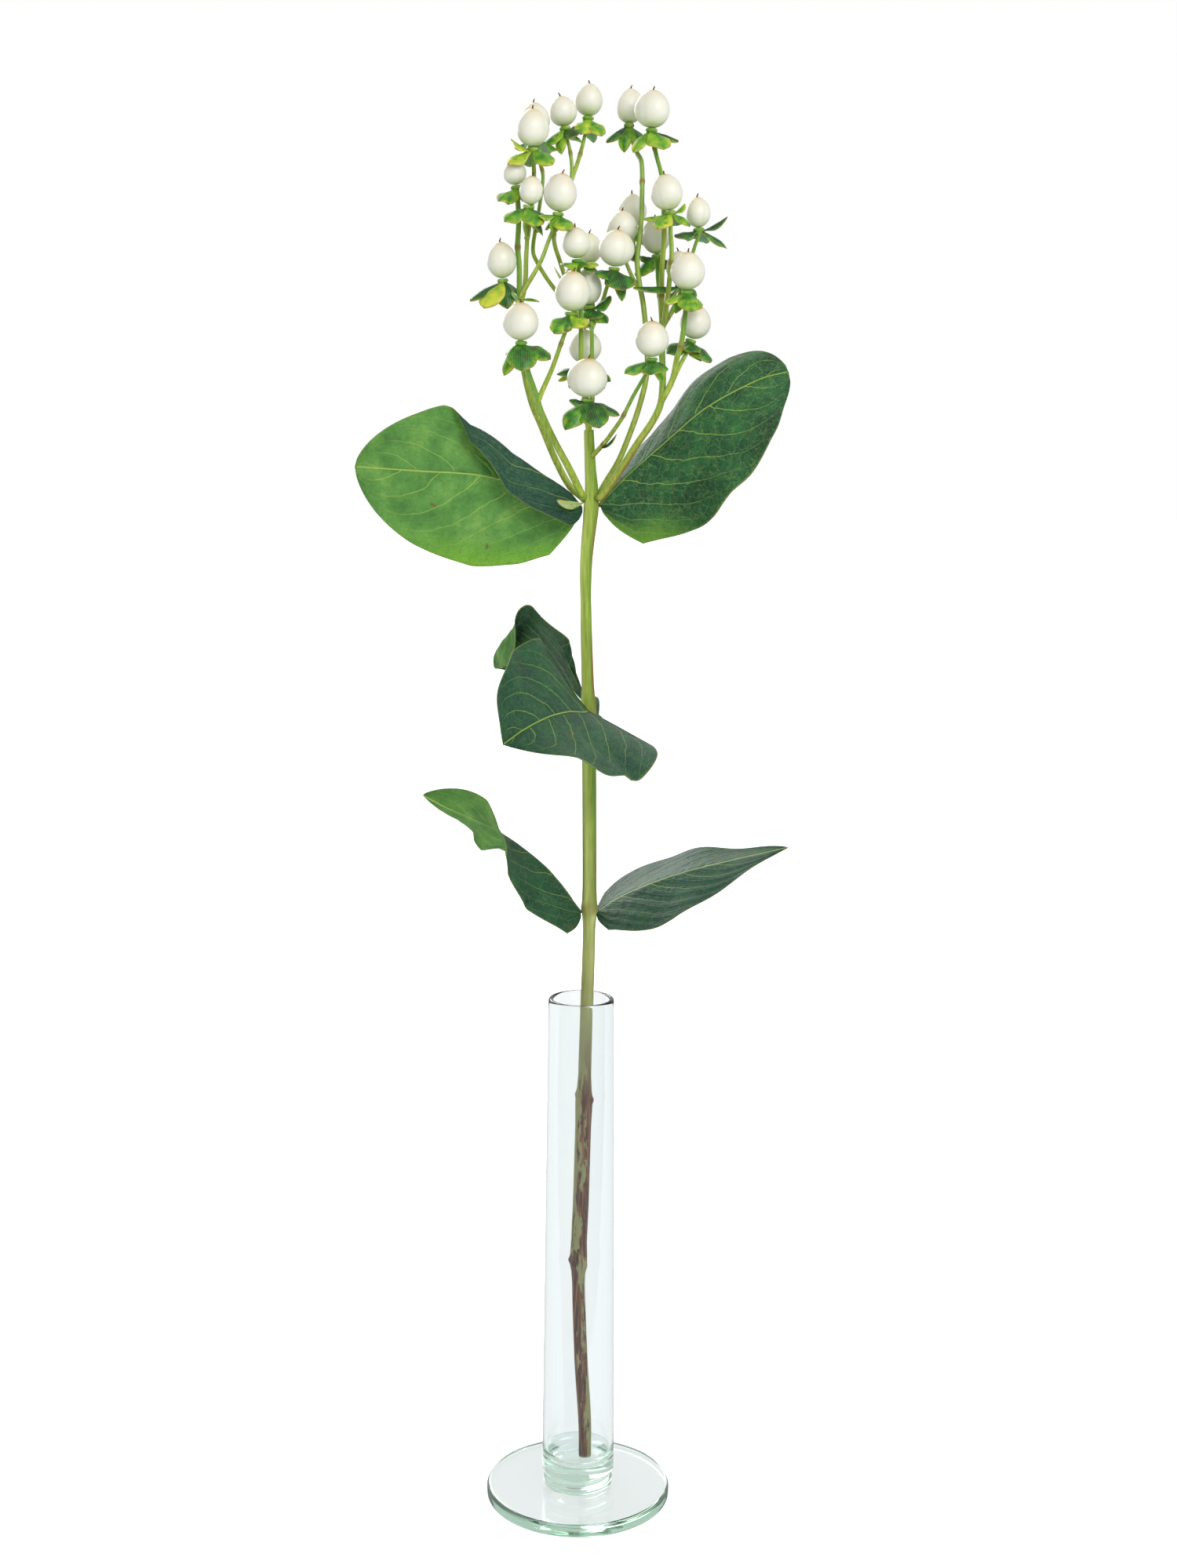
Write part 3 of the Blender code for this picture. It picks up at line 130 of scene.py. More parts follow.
# A berry: the middle of its base, its size, and in degrees its lean to the right and to the back and its turn.
Berry = namedtuple("Berry", "base diameter length right back turn")
BERRIES = {
    "berry_01": Berry((-0.0195, 0.002, 0.5101), 0.0117, 0.0128, 0, -4, 20),
    "berry_02": Berry((-0.0184, 0.015, 0.5155), 0.0110, 0.0118, -6, 4, 50),
    "berry_03": Berry((-0.0084, 0.022, 0.5202), 0.0103, 0.0106, -9, 5, 10),
    "berry_04": Berry((0.0001, 0.026, 0.5244), 0.0103, 0.0116, 2, 6, 40),
    "berry_05": Berry((0.0151, 0.030, 0.5226), 0.0105, 0.0125, 2, 8, 0),
    "berry_06": Berry((0.0231, 0.018, 0.5192), 0.0129, 0.0132, 2, 3, 62),
    "berry_07": Berry((-0.0253, 0.004, 0.4972), 0.0084, 0.0086, -8, 0, 30),
    "berry_08": Berry((-0.0205, -0.002, 0.4898), 0.0085, 0.0098, 8, -4, 8),
    "berry_09": Berry((-0.0101, -0.002, 0.4874), 0.0119, 0.0132, 6, -2, 44),
    "berry_10": Berry((0.0168, 0.026, 0.4856), 0.0108, 0.0116, -2, 8, 36),
    "berry_11": Berry((0.0127, 0.013, 0.4780), 0.0114, 0.0116, 0, 3, 26),
    "berry_12": Berry((0.0099, 0.000, 0.4688), 0.0129, 0.0128, 5, -2, 0),
    "berry_13": Berry((0.0295, 0.004, 0.4888), 0.0115, 0.0127, -10, 2, 58),
    "berry_14": Berry((0.0405, 0.016, 0.4842), 0.0090, 0.0108, -4, 4, 0),
    "berry_15": Berry((0.0256, 0.018, 0.4750), 0.0105, 0.0126, -5, 4, 18),
    "berry_16": Berry((-0.0033, -0.002, 0.4714), 0.0100, 0.0107, -5, -2, 30),
    "berry_17": Berry((0.0008, 0.014, 0.4710), 0.0092, 0.0108, 0, 5, 0),
    "berry_18": Berry((-0.0301, 0.004, 0.4648), 0.0108, 0.0127, -5, 0, 6),
    "berry_19": Berry((0.0355, -0.008, 0.4603), 0.0123, 0.0130, 1, -3, 20),
    "berry_20": Berry((0.0340, 0.010, 0.4640), 0.0095, 0.0114, -5, 3, 40),
    "berry_21": Berry((-0.0228, -0.014, 0.4421), 0.0126, 0.0130, 0, -6, 54),
    "berry_22": Berry((-0.0054, -0.008, 0.4526), 0.0125, 0.0138, 4, -4, 12),
    "berry_23": Berry((0.0008, 0.004, 0.4556), 0.0104, 0.0131, -4, 2, 40),
    "berry_24": Berry((0.0380, 0.006, 0.4442), 0.0112, 0.0118, 15, 0, 34),
    "berry_25": Berry((0.0231, -0.016, 0.4366), 0.0117, 0.0124, 0, -6, 16),
    "berry_26": Berry((-0.0005, 0.009, 0.4352), 0.0119, 0.0121, 0, 3, 0),
    "berry_27": Berry((0.0005, -0.012, 0.4226), 0.0143, 0.0136, 2, -5, 50),
}

# The five sepals under each berry, in millimetres from the middle of the berry's base: how far the tip lies to
# the right, to the back and up, how wide the blade is, and how lime it is, from 0, dark, to 1.
SEPALS = {
    "berry_01": [(-7.4, -4, 1.9, 5, .8), (-9.3, -2, -6.7, 6.75, .9), (7.4, -4, -6.7, 6.75, .5),
                 (6, 6, -4, 6.75, .2), (-2, 7, -6, 6.75, .3)],
    "berry_02": [(-8, 2, -4, 6.25, .3), (7.5, 3, -4.5, 6.25, .3), (-4, 8, -5, 6.25, .2),
                 (4, 8, -5, 6.25, .2), (0, -3, -8, 5, .3)],
    "berry_03": [(-7, -4, -7.5, 6.75, .5), (-1, -3, -10.4, 4.5, .6), (5, -6, -4, 6.75, 0),
                 (6, 6, -5, 6.75, .2), (-5, 6, -5, 6.75, .1)],
    "berry_04": [(5.2, -5, -7.8, 7, .7), (-8.5, -3, -6.9, 5, 0), (-2.5, -6, -7.5, 7.25, .8),
                 (2, 6, -8.7, 5.5, .3), (-5, 6, -5, 6.25, .2)],
    "berry_05": [(-8.2, -3, -7.5, 5.5, 0), (-1.7, -4, -11, 5.25, .6), (3.5, -3, -8.5, 5, .4),
                 (7, 5, -5, 6.25, .2), (-4, 7, -5, 6.25, .2)],
    "berry_06": [(4.5, -6, -8.4, 9.25, .6), (9.8, 1, -4.6, 5.5, 0), (-6.7, -4, -9.2, 5.25, .7),
                 (-5, 6, -5, 6.75, .2), (5, 7, -5, 6.75, .2)],
    "berry_07": [(-6.1, -3.5, -6.2, 7.5, .6), (-2.5, -5, -7.5, 5.5, .5), (5, 4, -4, 5.5, .2),
                 (0, 7, -4, 5.5, .2), (4.5, -3.5, -6, 5, .3)],
    "berry_08": [(-8.6, -3.5, -6.5, 7.25, .4), (2.8, -5.5, -8.3, 8.25, .5), (6, 2, -5, 6.25, .2),
                 (-3, 6.5, -5, 6.25, .2), (4.8, 3, -10.5, 4.75, .1)],
    "berry_09": [(4.4, -5, -7.2, 7.75, .6), (-7.1, -3.5, -2.2, 4, .6), (-4.5, 4, -6, 6.75, .3),
                 (3, 7, -5, 6.75, .2), (-1.5, -3, -8, 4, .4)],
    "berry_10": [(-6, -4, -6, 6.25, .3), (6, -4, -6, 6.25, .3), (7, 4, -5, 6.25, .2),
                 (-7, 4, -5, 6.25, .2), (0, 8, -5, 6.25, .2)],
    "berry_11": [(-7, 2, -5, 6.25, .2), (7, 3, -5, 6.25, .2), (-4, 7, -5, 6.25, .1),
                 (4, 7, -5, 6.25, .1), (6, -2, -6.5, 5, .2)],
    "berry_12": [(3.5, -7, -8.8, 11.25, .05), (-6.5, -4, -3.5, 7.25, .1), (2.8, -2, -12.2, 5, .2),
                 (-3, 7, -5, 6.75, .1), (6, 6, -5, 6.75, .1)],
    "berry_13": [(-9.7, -1, -3.3, 3.25, .6), (-4.6, -5.5, -7, 7.25, .8), (7.3, -3.5, -5.9, 4, .5),
                 (5.5, 2, 2.6, 3.25, .7), (1, 7, -5, 6.75, .2)],
    "berry_14": [(-8.9, -4, -3.6, 6.25, 0), (10.6, 2, 4.1, 3.25, 0), (10.3, -1, -7.5, 3.5, .1),
                 (-3, 6, -4, 5.5, .1), (3, 6, -5, 5.5, .2)],
    "berry_15": [(-5.8, -6, -7.9, 9, .35), (3.8, -4.5, -6, 6.75, .1), (-6.5, -1, .6, 4.5, 0),
                 (5, 5, -5, 6.25, .1), (-3, 7, -4, 6.75, .1)],
    "berry_16": [(-4.5, -4.5, -4.5, 6.75, .5), (7.7, -2, -2.6, 3.25, .7), (4, -5, -3, 4, .4),
                 (5, 5, -4, 5.5, .2), (-4, 6, -4, 5.5, .2)],
    "berry_17": [(-6, 3, -5, 5.5, .2), (6, 3, -5, 5.5, .2), (-3, 7, -4, 5.5, .2),
                 (3, 7, -4, 5.5, .2), (0, -4, -7, 4.5, .2)],
    "berry_18": [(-11.5, -3, -8.4, 5.5, 0), (-6.5, -6, -11, 9.75, 1), (1.8, -5.5, -11.2, 7.25, 0),
                 (6, 4, -5, 6.25, .1), (-3, 7, -6, 6.75, .2)],
    "berry_19": [(1.8, -6.5, -8, 9.25, .5), (-7.6, -3, -5.2, 4, .7), (-4, -3, -8.5, 4, .3),
                 (-5, 5, -2.5, 6.25, 0), (6, 5, -5, 6.75, .2)],
    "berry_20": [(-17.5, -6, -6.8, 5.25, .1), (-9.8, 2, -10, 5, 1), (5, -4, -6, 5.5, .2),
                 (5, 5, -4, 5.5, .2), (-2, 7, -4, 5.5, .1)],
    "berry_21": [(.6, -6.5, -11, 10.75, .2), (10.5, -3.5, -6.6, 6.25, .2), (-5.9, -1, -12.3, 5.5, .5),
                 (-5.5, 6, -4, 6.25, .2), (5, 6.5, -5, 6.75, .2)],
    "berry_22": [(-6, -4.5, -8, 8, .5), (5.2, -5.5, -5.8, 7, .9), (-1.5, -4.5, -7, 4.5, .3),
                 (-4, 6.5, -5, 6.75, .2), (6, 5, -5, 6.25, .2)],
    "berry_23": [(6.8, -3.5, -6.7, 6.25, .2), (0, -5.5, -5.5, 8, .1), (-5, 4, -5, 6.25, .2),
                 (2, 7.5, -4, 6.25, .2), (6.5, 4, -4, 5.5, .2)],
    "berry_24": [(-9, -2.5, -5.6, 6.75, .05), (7.1, -3, -8.6, 7.25, .15), (3.4, -2, -8.2, 6.25, .5),
                 (0, -6, -5.2, 7.25, .2), (0, 7, -5, 6.75, .1)],
    "berry_25": [(-9.5, -3.5, -6, 5.5, .4), (0, -6.5, -6.4, 8.5, .2), (3.8, -1, -9, 4.5, .7),
                 (6, 4, -4, 6.25, .2), (-3, 7, -4, 6.75, .1)],
    "berry_26": [(-10, -3, -4.2, 6.25, 0), (-9.5, -1, -6.5, 4, .9), (9.5, -2.5, -6.5, 5.5, 0),
                 (7.5, 1, -9, 5, .8), (-5.5, -3, -9, 4, .1)],
    "berry_27": [(-7.6, -4.5, -11.6, 8, .4), (4.6, -6, -10.8, 10.75, .1), (11.6, 1, -6.3, 4.5, 0),
                 (-6.3, -2, -1.2, 4.5, .1), (0, 7.5, -5, 7.25, .2)],
}

# The small bracts at the forks: the node, the root and tip in metres, how far its middle sags in millimetres,
# its width in millimetres and how lime it is.
BRACTS = [
    ("main_stem", (-0.0008, 0.0035, 0.3850), (-0.0102, -0.0055, 0.3863), 1.0, 3.4, 1.1),
    ("main_stem", (0.0060, 0.0022, 0.4050), (0.0113, -0.001, 0.4098), 0.9, 1.5, -0.1),
    ("main_stem", (-0.0030, 0.000, 0.4560), (-0.0115, -0.004, 0.4681), 0.6, 1.1, 0.9),
    ("main_stem", (-0.0176, 0.0115, 0.4815), (-0.0200, 0.0090, 0.4850), 0.3, 1.6, 0.9),
    ("spray_left_outer", (-0.0232, 0.001, 0.4570), (-0.0166, -0.003, 0.4560), -0.5, 1.2, 0.6),
    ("spray_left_outer", (-0.0240, 0.001, 0.4572), (-0.0268, -0.002, 0.4596), 0.4, 1.4, 0.5),
    ("spray_right_outer", (0.0272, 0.0075, 0.4478), (0.0236, 0.0030, 0.4500), 0.5, 1.4, 0.6),
]

# A stalk: its width, its route and the berry that it carries.
Stalk = namedtuple("Stalk", "width route berry")

CENTRE_CYME = [
    Stalk(0.0024, [(0.0012, 0.009, 0.4110), (0.0011, 0.001, 0.4150), (0.0006, -0.007, 0.4180)], "berry_27"),
    Stalk(0.0018, [(0.0012, 0.009, 0.4100), (0.0006, 0.0115, 0.4210)], "berry_26"),
    Stalk(0.0021, [(0.0012, 0.009, 0.4110), (-0.0002, 0.004, 0.4220), (-0.0016, -0.0005, 0.4340),
                   (-0.0018, -0.001, 0.4480), (-0.0021, -0.0016, 0.4606)], "berry_16"),
    Stalk(0.0018, [(0.0012, 0.009, 0.4110), (0.0024, 0.004, 0.4220), (0.0022, -0.0005, 0.4340),
                   (0.0019, 0.000, 0.4480)], "berry_23"),
    Stalk(0.0018, [(0.0019, 0.000, 0.4470), (0.0046, 0.007, 0.4539), (0.0061, 0.009, 0.4580),
                   (0.0076, 0.007, 0.4628)], "berry_12"),
    Stalk(0.0016, [(0.0019, 0.001, 0.4480), (0.0026, 0.009, 0.4540), (0.0014, 0.013, 0.4630)], "berry_17"),
    Stalk(0.0018, [(-0.0018, -0.001, 0.4470), (-0.0036, 0.005, 0.4530), (-0.0082, 0.010, 0.4670),
                   (-0.0095, 0.010, 0.4708), (-0.0119, 0.010, 0.4800), (-0.0091, 0.014, 0.4913),
                   (-0.0059, 0.018, 0.5011), (-0.0061, 0.020, 0.5097)], "berry_03"),
    Stalk(0.0016, [(-0.0059, 0.018, 0.5005), (-0.0028, 0.021, 0.5098)], "berry_04"),
    Stalk(0.0016, [(-0.0018, -0.001, 0.4475), (-0.0055, 0.005, 0.4550), (-0.0121, 0.008, 0.4621),
                   (-0.0176, 0.009, 0.4704), (-0.0194, 0.010, 0.4760), (-0.0175, 0.012, 0.4885),
                   (-0.0160, 0.014, 0.5010), (-0.0173, 0.014, 0.5068)], "berry_02"),
    Stalk(0.0017, [(0.0017, 0.0085, 0.4010), (0.0068, 0.002, 0.4066), (0.0101, -0.003, 0.4111),
                   (0.0134, -0.007, 0.4161), (0.0172, -0.011, 0.4237)], "berry_25"),
]
SPRAYS = {
    "main_stem": CENTRE_CYME,
    "spray_left_outer": [
        Stalk(0.0025, [(-0.0009, 0.0099, 0.3868), (-0.0058, 0.009, 0.3912), (-0.0111, 0.007, 0.4010),
                       (-0.0159, 0.004, 0.4124), (-0.0194, 0.001, 0.4207), (-0.0222, 0.000, 0.4323),
                       (-0.0238, 0.001, 0.4466), (-0.0240, 0.002, 0.4585), (-0.0242, 0.006, 0.4688),
                       (-0.0248, 0.0065, 0.4760), (-0.0244, 0.005, 0.4852)], "berry_07"),
        Stalk(0.0019, [(-0.0239, 0.0015, 0.4540), (-0.0221, 0.005, 0.4626), (-0.0217, 0.005, 0.4723),
                       (-0.0214, 0.004, 0.4790), (-0.0221, 0.001, 0.4830)], "berry_08"),
        Stalk(0.0020, [(-0.0214, 0.004, 0.4785), (-0.0203, 0.007, 0.4870), (-0.0194, 0.007, 0.4950),
                       (-0.0190, 0.005, 0.5020)], "berry_01"),
        Stalk(0.0018, [(-0.0240, 0.002, 0.4575), (-0.0216, 0.000, 0.4614), (-0.0164, -0.002, 0.4700),
                       (-0.0133, -0.002, 0.4779)], "berry_09"),
        Stalk(0.0020, [(-0.0239, 0.0015, 0.4560), (-0.0278, 0.003, 0.4600)], "berry_18"),
    ],
    "spray_left_inner": [
        Stalk(0.0026, [(-0.0009, 0.0056, 0.3875), (-0.0058, 0.000, 0.3975), (-0.0110, -0.003, 0.4070),
                       (-0.0158, -0.005, 0.4172), (-0.0176, -0.0065, 0.4230), (-0.0205, -0.011, 0.4312)],
              "berry_21"),
        Stalk(0.0018, [(-0.0170, -0.006, 0.4210), (-0.0152, -0.0065, 0.4255), (-0.0121, -0.008, 0.4323),
                       (-0.0095, -0.009, 0.4394), (-0.0075, -0.009, 0.4450)], "berry_22"),
    ],
    "spray_right_inner": [
        Stalk(0.0024, [(0.0051, 0.0112, 0.3882), (0.0080, 0.0118, 0.3932), (0.0120, 0.010, 0.3999),
                       (0.0154, 0.008, 0.4081), (0.0193, 0.006, 0.4194), (0.0220, 0.005, 0.4314),
                       (0.0219, 0.006, 0.4430), (0.0206, 0.008, 0.4558), (0.0192, 0.009, 0.4632),
                       (0.0182, 0.009, 0.4714), (0.0190, 0.009, 0.4800), (0.0196, 0.011, 0.4886),
                       (0.0197, 0.018, 0.5058), (0.0179, 0.024, 0.5115)], "berry_05"),
        Stalk(0.0018, [(0.0194, 0.009, 0.4620), (0.0186, 0.014, 0.4680), (0.0172, 0.021, 0.4780)], "berry_10"),
        Stalk(0.0017, [(0.0196, 0.009, 0.4610), (0.0170, 0.0105, 0.4650), (0.0144, 0.013, 0.4710)], "berry_11"),
    ],
    "spray_right_outer": [
        Stalk(0.0027, [(0.0057, 0.0060, 0.3870), (0.0092, 0.0040, 0.3915), (0.0151, 0.000, 0.4008),
                       (0.0192, -0.002, 0.4073), (0.0238, -0.0035, 0.4140), (0.0268, -0.004, 0.4205),
                       (0.0276, -0.002, 0.4285), (0.0274, 0.003, 0.4390), (0.0275, 0.008, 0.4488),
                       (0.0270, 0.012, 0.4571), (0.0263, 0.016, 0.4650)], "berry_15"),
        Stalk(0.0022, [(0.0270, -0.004, 0.4212), (0.0310, -0.004, 0.4292), (0.0325, -0.005, 0.4369),
                       (0.0336, -0.006, 0.4403), (0.0345, -0.007, 0.4461), (0.0351, -0.008, 0.4530)],
              "berry_19"),
        Stalk(0.0019, [(0.0308, -0.004, 0.4285), (0.0334, 0.000, 0.4338), (0.0360, 0.003, 0.4385)], "berry_24"),
        Stalk(0.0020, [(0.0274, 0.007, 0.4470), (0.0284, 0.006, 0.4520), (0.0295, 0.003, 0.4620),
                       (0.0303, 0.002, 0.4738), (0.0299, 0.003, 0.4810)], "berry_13"),
        Stalk(0.0017, [(0.0275, 0.0075, 0.4480), (0.0300, 0.010, 0.4520), (0.0330, 0.0115, 0.4570)],
              "berry_20"),
        Stalk(0.0017, [(0.0275, 0.008, 0.4490), (0.0315, 0.0145, 0.4550), (0.0358, 0.0175, 0.4650),
                       (0.0388, 0.017, 0.4760)], "berry_14"),
        Stalk(0.0020, [(0.0274, 0.0085, 0.4495), (0.0272, 0.010, 0.4580), (0.0272, 0.0105, 0.4680),
                       (0.0278, 0.0100, 0.4820), (0.0270, 0.014, 0.5000), (0.0250, 0.017, 0.5090)], "berry_06"),
    ],
}

# A half of a leaf: its greatest width and, at places along the leaf, its rise and its further bend in degrees and
# the place across it where it bends; then how soft the bend is and how high the margin's waves are.
Half = namedtuple("Half", "width rise bend bend_at softness wave")
# A leaf: its midrib, its outline's values, the number of its waves and its two halves.
Leaf = namedtuple("Leaf", "midrib widest base lobes tip point waves right left")
FLAT = [(0, 0), (1, 0)]
MIDDLE = [(0, 0.5), (1, 0.5)]

LEAVES = {
    "leaf_top_left": Leaf(
        [(-0.0012, 0.0095, 0.3832), (-0.0159, 0.005, 0.3887), (-0.0369, 0.001, 0.3946), (-0.0610, -0.003, 0.3963),
         (-0.0829, -0.004, 0.3977)], 0.42, 0.50, 0.003, 2.0, 0.62, 3.0,
        Half(0.033, [(0, -80), (1, -84)], [(0, 10), (0.5, -14), (1, 0)], MIDDLE, 1.0, 0.0010),
        Half(0.0262, [(0, 92), (0.6, 98), (1, 85)], [(0, -165), (1, -165)],
             [(0, 0.15), (0.36, 0.40), (0.53, 0.68), (0.66, 1.25), (1, 1.6)], 0.30, 0.0010)),
    "leaf_top_right": Leaf(
        [(0.0054, 0.0082, 0.3843), (0.0150, 0.006, 0.3946), (0.0286, 0.003, 0.4068), (0.0435, 0.000, 0.4195),
         (0.0616, -0.001, 0.4293), (0.0728, -0.001, 0.4325)], 0.40, 0.48, 0.007, 2.9, 0.60, 2.5,
        Half(0.0345, [(0, -88), (0.5, -72), (0.8, -54), (1, -48)], [(0, -20), (0.5, 14), (1, 0)], MIDDLE, 1.0, 0.0012),
        Half(0.026, [(0, 22), (0.5, 43), (0.8, 64), (1, 70)], [(0, -30), (0.5, -50), (1, -50)], MIDDLE, 0.6,
             0.0010)),
    "leaf_middle_front": Leaf(
        [(0.0017, 0.0047, 0.3085), (0.0000, -0.006, 0.3094), (-0.0055, -0.018, 0.3110), (-0.0125, -0.032, 0.3108),
         (-0.0205, -0.047, 0.3083), (-0.0270, -0.060, 0.3050)], 0.30, 0.62, 0.0, 2.1, 0.65, 3.0,
        Half(0.029, [(0, 42), (0.15, 55), (0.35, 63), (0.6, 68), (1, 72)], [(0, 10), (0.5, -10), (1, 0)],
             MIDDLE, 1.0, 0.0012),
        Half(0.0365, [(0, -24), (0.2, -34), (0.42, -42), (0.7, -32), (1, -14)], [(0, 0), (0.5, 6), (1, 0)],
             MIDDLE, 1.0, 0.0014)),
    "leaf_middle_back": Leaf(
        [(0.0020, 0.0116, 0.3085), (0.0004, 0.020, 0.3104), (-0.0095, 0.035, 0.3180), (-0.0210, 0.052, 0.3215),
         (-0.0310, 0.064, 0.3200), (-0.0360, 0.070, 0.3175)], 0.46, 0.74, 0.0, 1.8, 0.75, 3.0,
        Half(0.023, [(0, -44), (0.15, -46), (0.3, -36), (0.4, -30), (1, -30)], FLAT, MIDDLE, 1.0, 0.0014),
        Half(0.032, [(0, 66), (0.35, 60), (0.6, 61), (1, 60)], [(0, -165), (1, -165)],
             [(0, 1.5), (0.40, 1.14), (0.52, 0.80), (0.75, 0.52), (1, 0.42)], 0.30, 0.0010)),
    "leaf_bottom_left": Leaf(
        [(-0.0003, 0.0075, 0.2315), (-0.0066, 0.0055, 0.2410), (-0.0145, 0.004, 0.2504), (-0.0233, 0.002, 0.2581),
         (-0.0296, 0.0005, 0.2627), (-0.0351, -0.001, 0.2664), (-0.0430, -0.0025, 0.2701),
         (-0.0513, -0.0035, 0.2739), (-0.0590, -0.004, 0.2780)], 0.34, 0.44, 0.007, 2.0, 0.80, 2.0,
        Half(0.020, [(0, 5), (0.3, -6), (0.48, -22), (0.56, -38), (0.62, -30), (0.66, -24), (0.72, -20), (0.78, -18),
                     (0.87, -22), (1, -34)], FLAT, MIDDLE, 1.0, 0.0008),
        Half(0.0235, [(0, -46), (0.25, -46), (0.5, -26), (0.6, -9), (0.66, 4), (0.7, 18), (0.74, 33), (0.8, 45),
                      (0.87, 58), (0.94, 70), (1, 72)], FLAT, MIDDLE, 1.0, 0.0010)),
    "leaf_bottom_right": Leaf(
        [(0.0059, 0.0078, 0.2318), (0.0143, 0.006, 0.2378), (0.0257, 0.003, 0.2437), (0.0399, 0.000, 0.2493),
         (0.0586, -0.003, 0.2548), (0.0763, -0.005, 0.2595)], 0.34, 0.42, 0.004, 1.4, 1.0, 2.5,
        Half(0.0222, [(0, -36), (0.4, -40), (1, -22)], FLAT, MIDDLE, 1.0, 0.0010),
        Half(0.022, [(0, 14), (1, 12)], FLAT, MIDDLE, 1.0, 0.0010)),
}

# Values of the visual pieces alone. The red-brown flush on the stem's right edge: the middle heights, half
# heights and strengths of its bands. Bark changes from the stem's right side to its left between two heights.
FLUSH_BANDS = ([0.372, 0.322, 0.245], [0.014, 0.018, 0.012], [0.75, 0.9, 0.6])
BARK_CHANGES_SIDE = (0.102, 0.092)
# The half width of a sepal at places along it, and the heights of its margin's waves and of its keel.
SEPAL_OUTLINE = ([0, 0.15, 0.33, 0.50, 0.66, 0.80, 0.90, 0.96, 1.0],
                 [0.30, 0.66, 0.93, 1.0, 0.95, 0.76, 0.50, 0.27, 0.04])
SEPAL_RIPPLE, SEPAL_KEEL = 0.00022, 0.00018
# Side veins in each half of a leaf, how far the blade swells between them, and the midrib's groove above and
# keel below.
SIDE_VEINS = 6.0
LEAF_PUCKER, MIDRIB_GROOVE, MIDRIB_KEEL = 0.00016, 0.00022, 0.0004
# How bluish a leaf is, from 0 to 1, and where it is lime: how strongly, and between which places across it and
# along it that sets in and fades.
TEALS = {"leaf_top_left": 0.9, "leaf_top_right": 0.1, "leaf_middle_front": 0.6, "leaf_middle_back": 0.5,
         "leaf_bottom_left": 0.6, "leaf_bottom_right": 0.8}
LIMES = {"leaf_top_left": (0.85, (0.60, 1.0), (0.9, 0.5)), "leaf_top_right": (0.7, (0.5, 1.0), (0.32, 0.1))}
NOT_LIME = (0.0, (0.0, 1.0), (0.0, 1.0))
# The rings nearest the axis, on the vase's inner floor and under its foot, and the step between rings on a
# straight run.
FLOOR_MIDDLE_RING, UNDERSIDE_RING, RING_STEP = 0.0012, 0.0020, 0.0040
# How deep a berry's seams are, as a share of its radius, and its styles: their length, how deep they start
# in the berry, how far they lean over, their radius and how much thicker their tips are.
SEAM_DEPTH = 0.018
STYLE_LENGTH, STYLE_SUNK, STYLE_LEAN, STYLE_RADIUS, STYLE_KNOB = 0.0016, 0.0003, 0.0006, 0.00042, 0.00012
# A stalk: heights above its neck and how far it has grown there towards its receptacle's radius, how high its
# ridges are and how much its joints swell, as shares of its radius, and half a joint's length in millimetres.
FLARE_RISES, FLARE_GROWS = [0.0006, 0.0011, 0.0016, 0.0020], [0.22, 0.60, 1.0, 0.97]
STALK_RIDGE, JOINT_SWELL, JOINT_LENGTH = 0.06, 0.22, 0.9
# The studio floor: how far it reaches to each side, and its level just under the foot.
FLOOR_REACH, FLOOR_LEVEL = 12, -0.0004

# How fine the visual pieces are.
VASE_SIDES = 96
STEM_SIDES, STEM_STATIONS = 28, 420
STALK_SIDES, STALK_STEP = 12, 0.0008
BERRY_SIDES, BERRY_RINGS = 48, 30
SEPAL_STATIONS, SEPAL_ACROSS = 15, 9
LEAF_STATIONS, HALF_STEPS = 130, 32


# --------------------------------------
# Helpers
# --------------------------------------
def linear(hex_colour):
    """An sRGB hex colour as the linear one that a shader takes."""
    srgb = np.array([int(hex_colour[i:i + 2], 16) for i in (1, 3, 5)]) / 255
    return (*np.where(srgb < 0.04045, srgb / 12.92, ((srgb + 0.055) / 1.055) ** 2.4).tolist(), 1.0)


# A Mix node's inputs, whose names repeat: the share of the second one, two vectors and two colours.
SHARE, FIRST_VECTOR, SECOND_VECTOR, FIRST, SECOND = 0, 4, 5, 6, 7


def connect(node, inputs):
    """Sets a node's inputs, each to a value, to an sRGB hex colour or to another node's output."""
    for name, value in dict(inputs).items():
        if isinstance(value, bpy.types.NodeSocket):
            node.id_data.links.new(value, node.inputs[name])
        else:
            node.inputs[name].default_value = linear(value) if isinstance(value, str) else value


def add(tree, kind, inputs=(), stops=(), out=None, **settings):
    """Adds a shader node with its settings, a ramp's (place, colour) stops and its inputs, and returns its output
    of the name given, or else its first output that is in use."""
    node = tree.nodes.new("ShaderNode" + kind)
    for name, value in settings.items():
        setattr(node, name, value)
    for index, (place, colour) in enumerate(stops):
        stop = node.color_ramp.elements[index] if index < 2 else node.color_ramp.elements.new(place)
        stop.position = place
        stop.color = linear(colour)
    connect(node, inputs)
    return node.outputs[out] if out else next(output for output in node.outputs if output.enabled)


def finish(name, sockets):
    """A material with one Principled shader, with the given values on its own sockets."""
    made = bpy.data.materials.new(name)
    made.use_nodes = True
    shader = made.node_tree.nodes["Principled BSDF"]
    connect(shader, sockets)
    return made, made.node_tree, shader


def unit(vectors):
    """The same directions, each one long."""
    return vectors / np.maximum(np.linalg.norm(vectors, axis=-1, keepdims=True), 1e-12)


def smooth_step(low, high, values):
    """0 below low, 1 above high and a soft S between."""
    share = np.clip((values - low) / (high - low), 0, 1)
    return share * share * (3 - 2 * share)


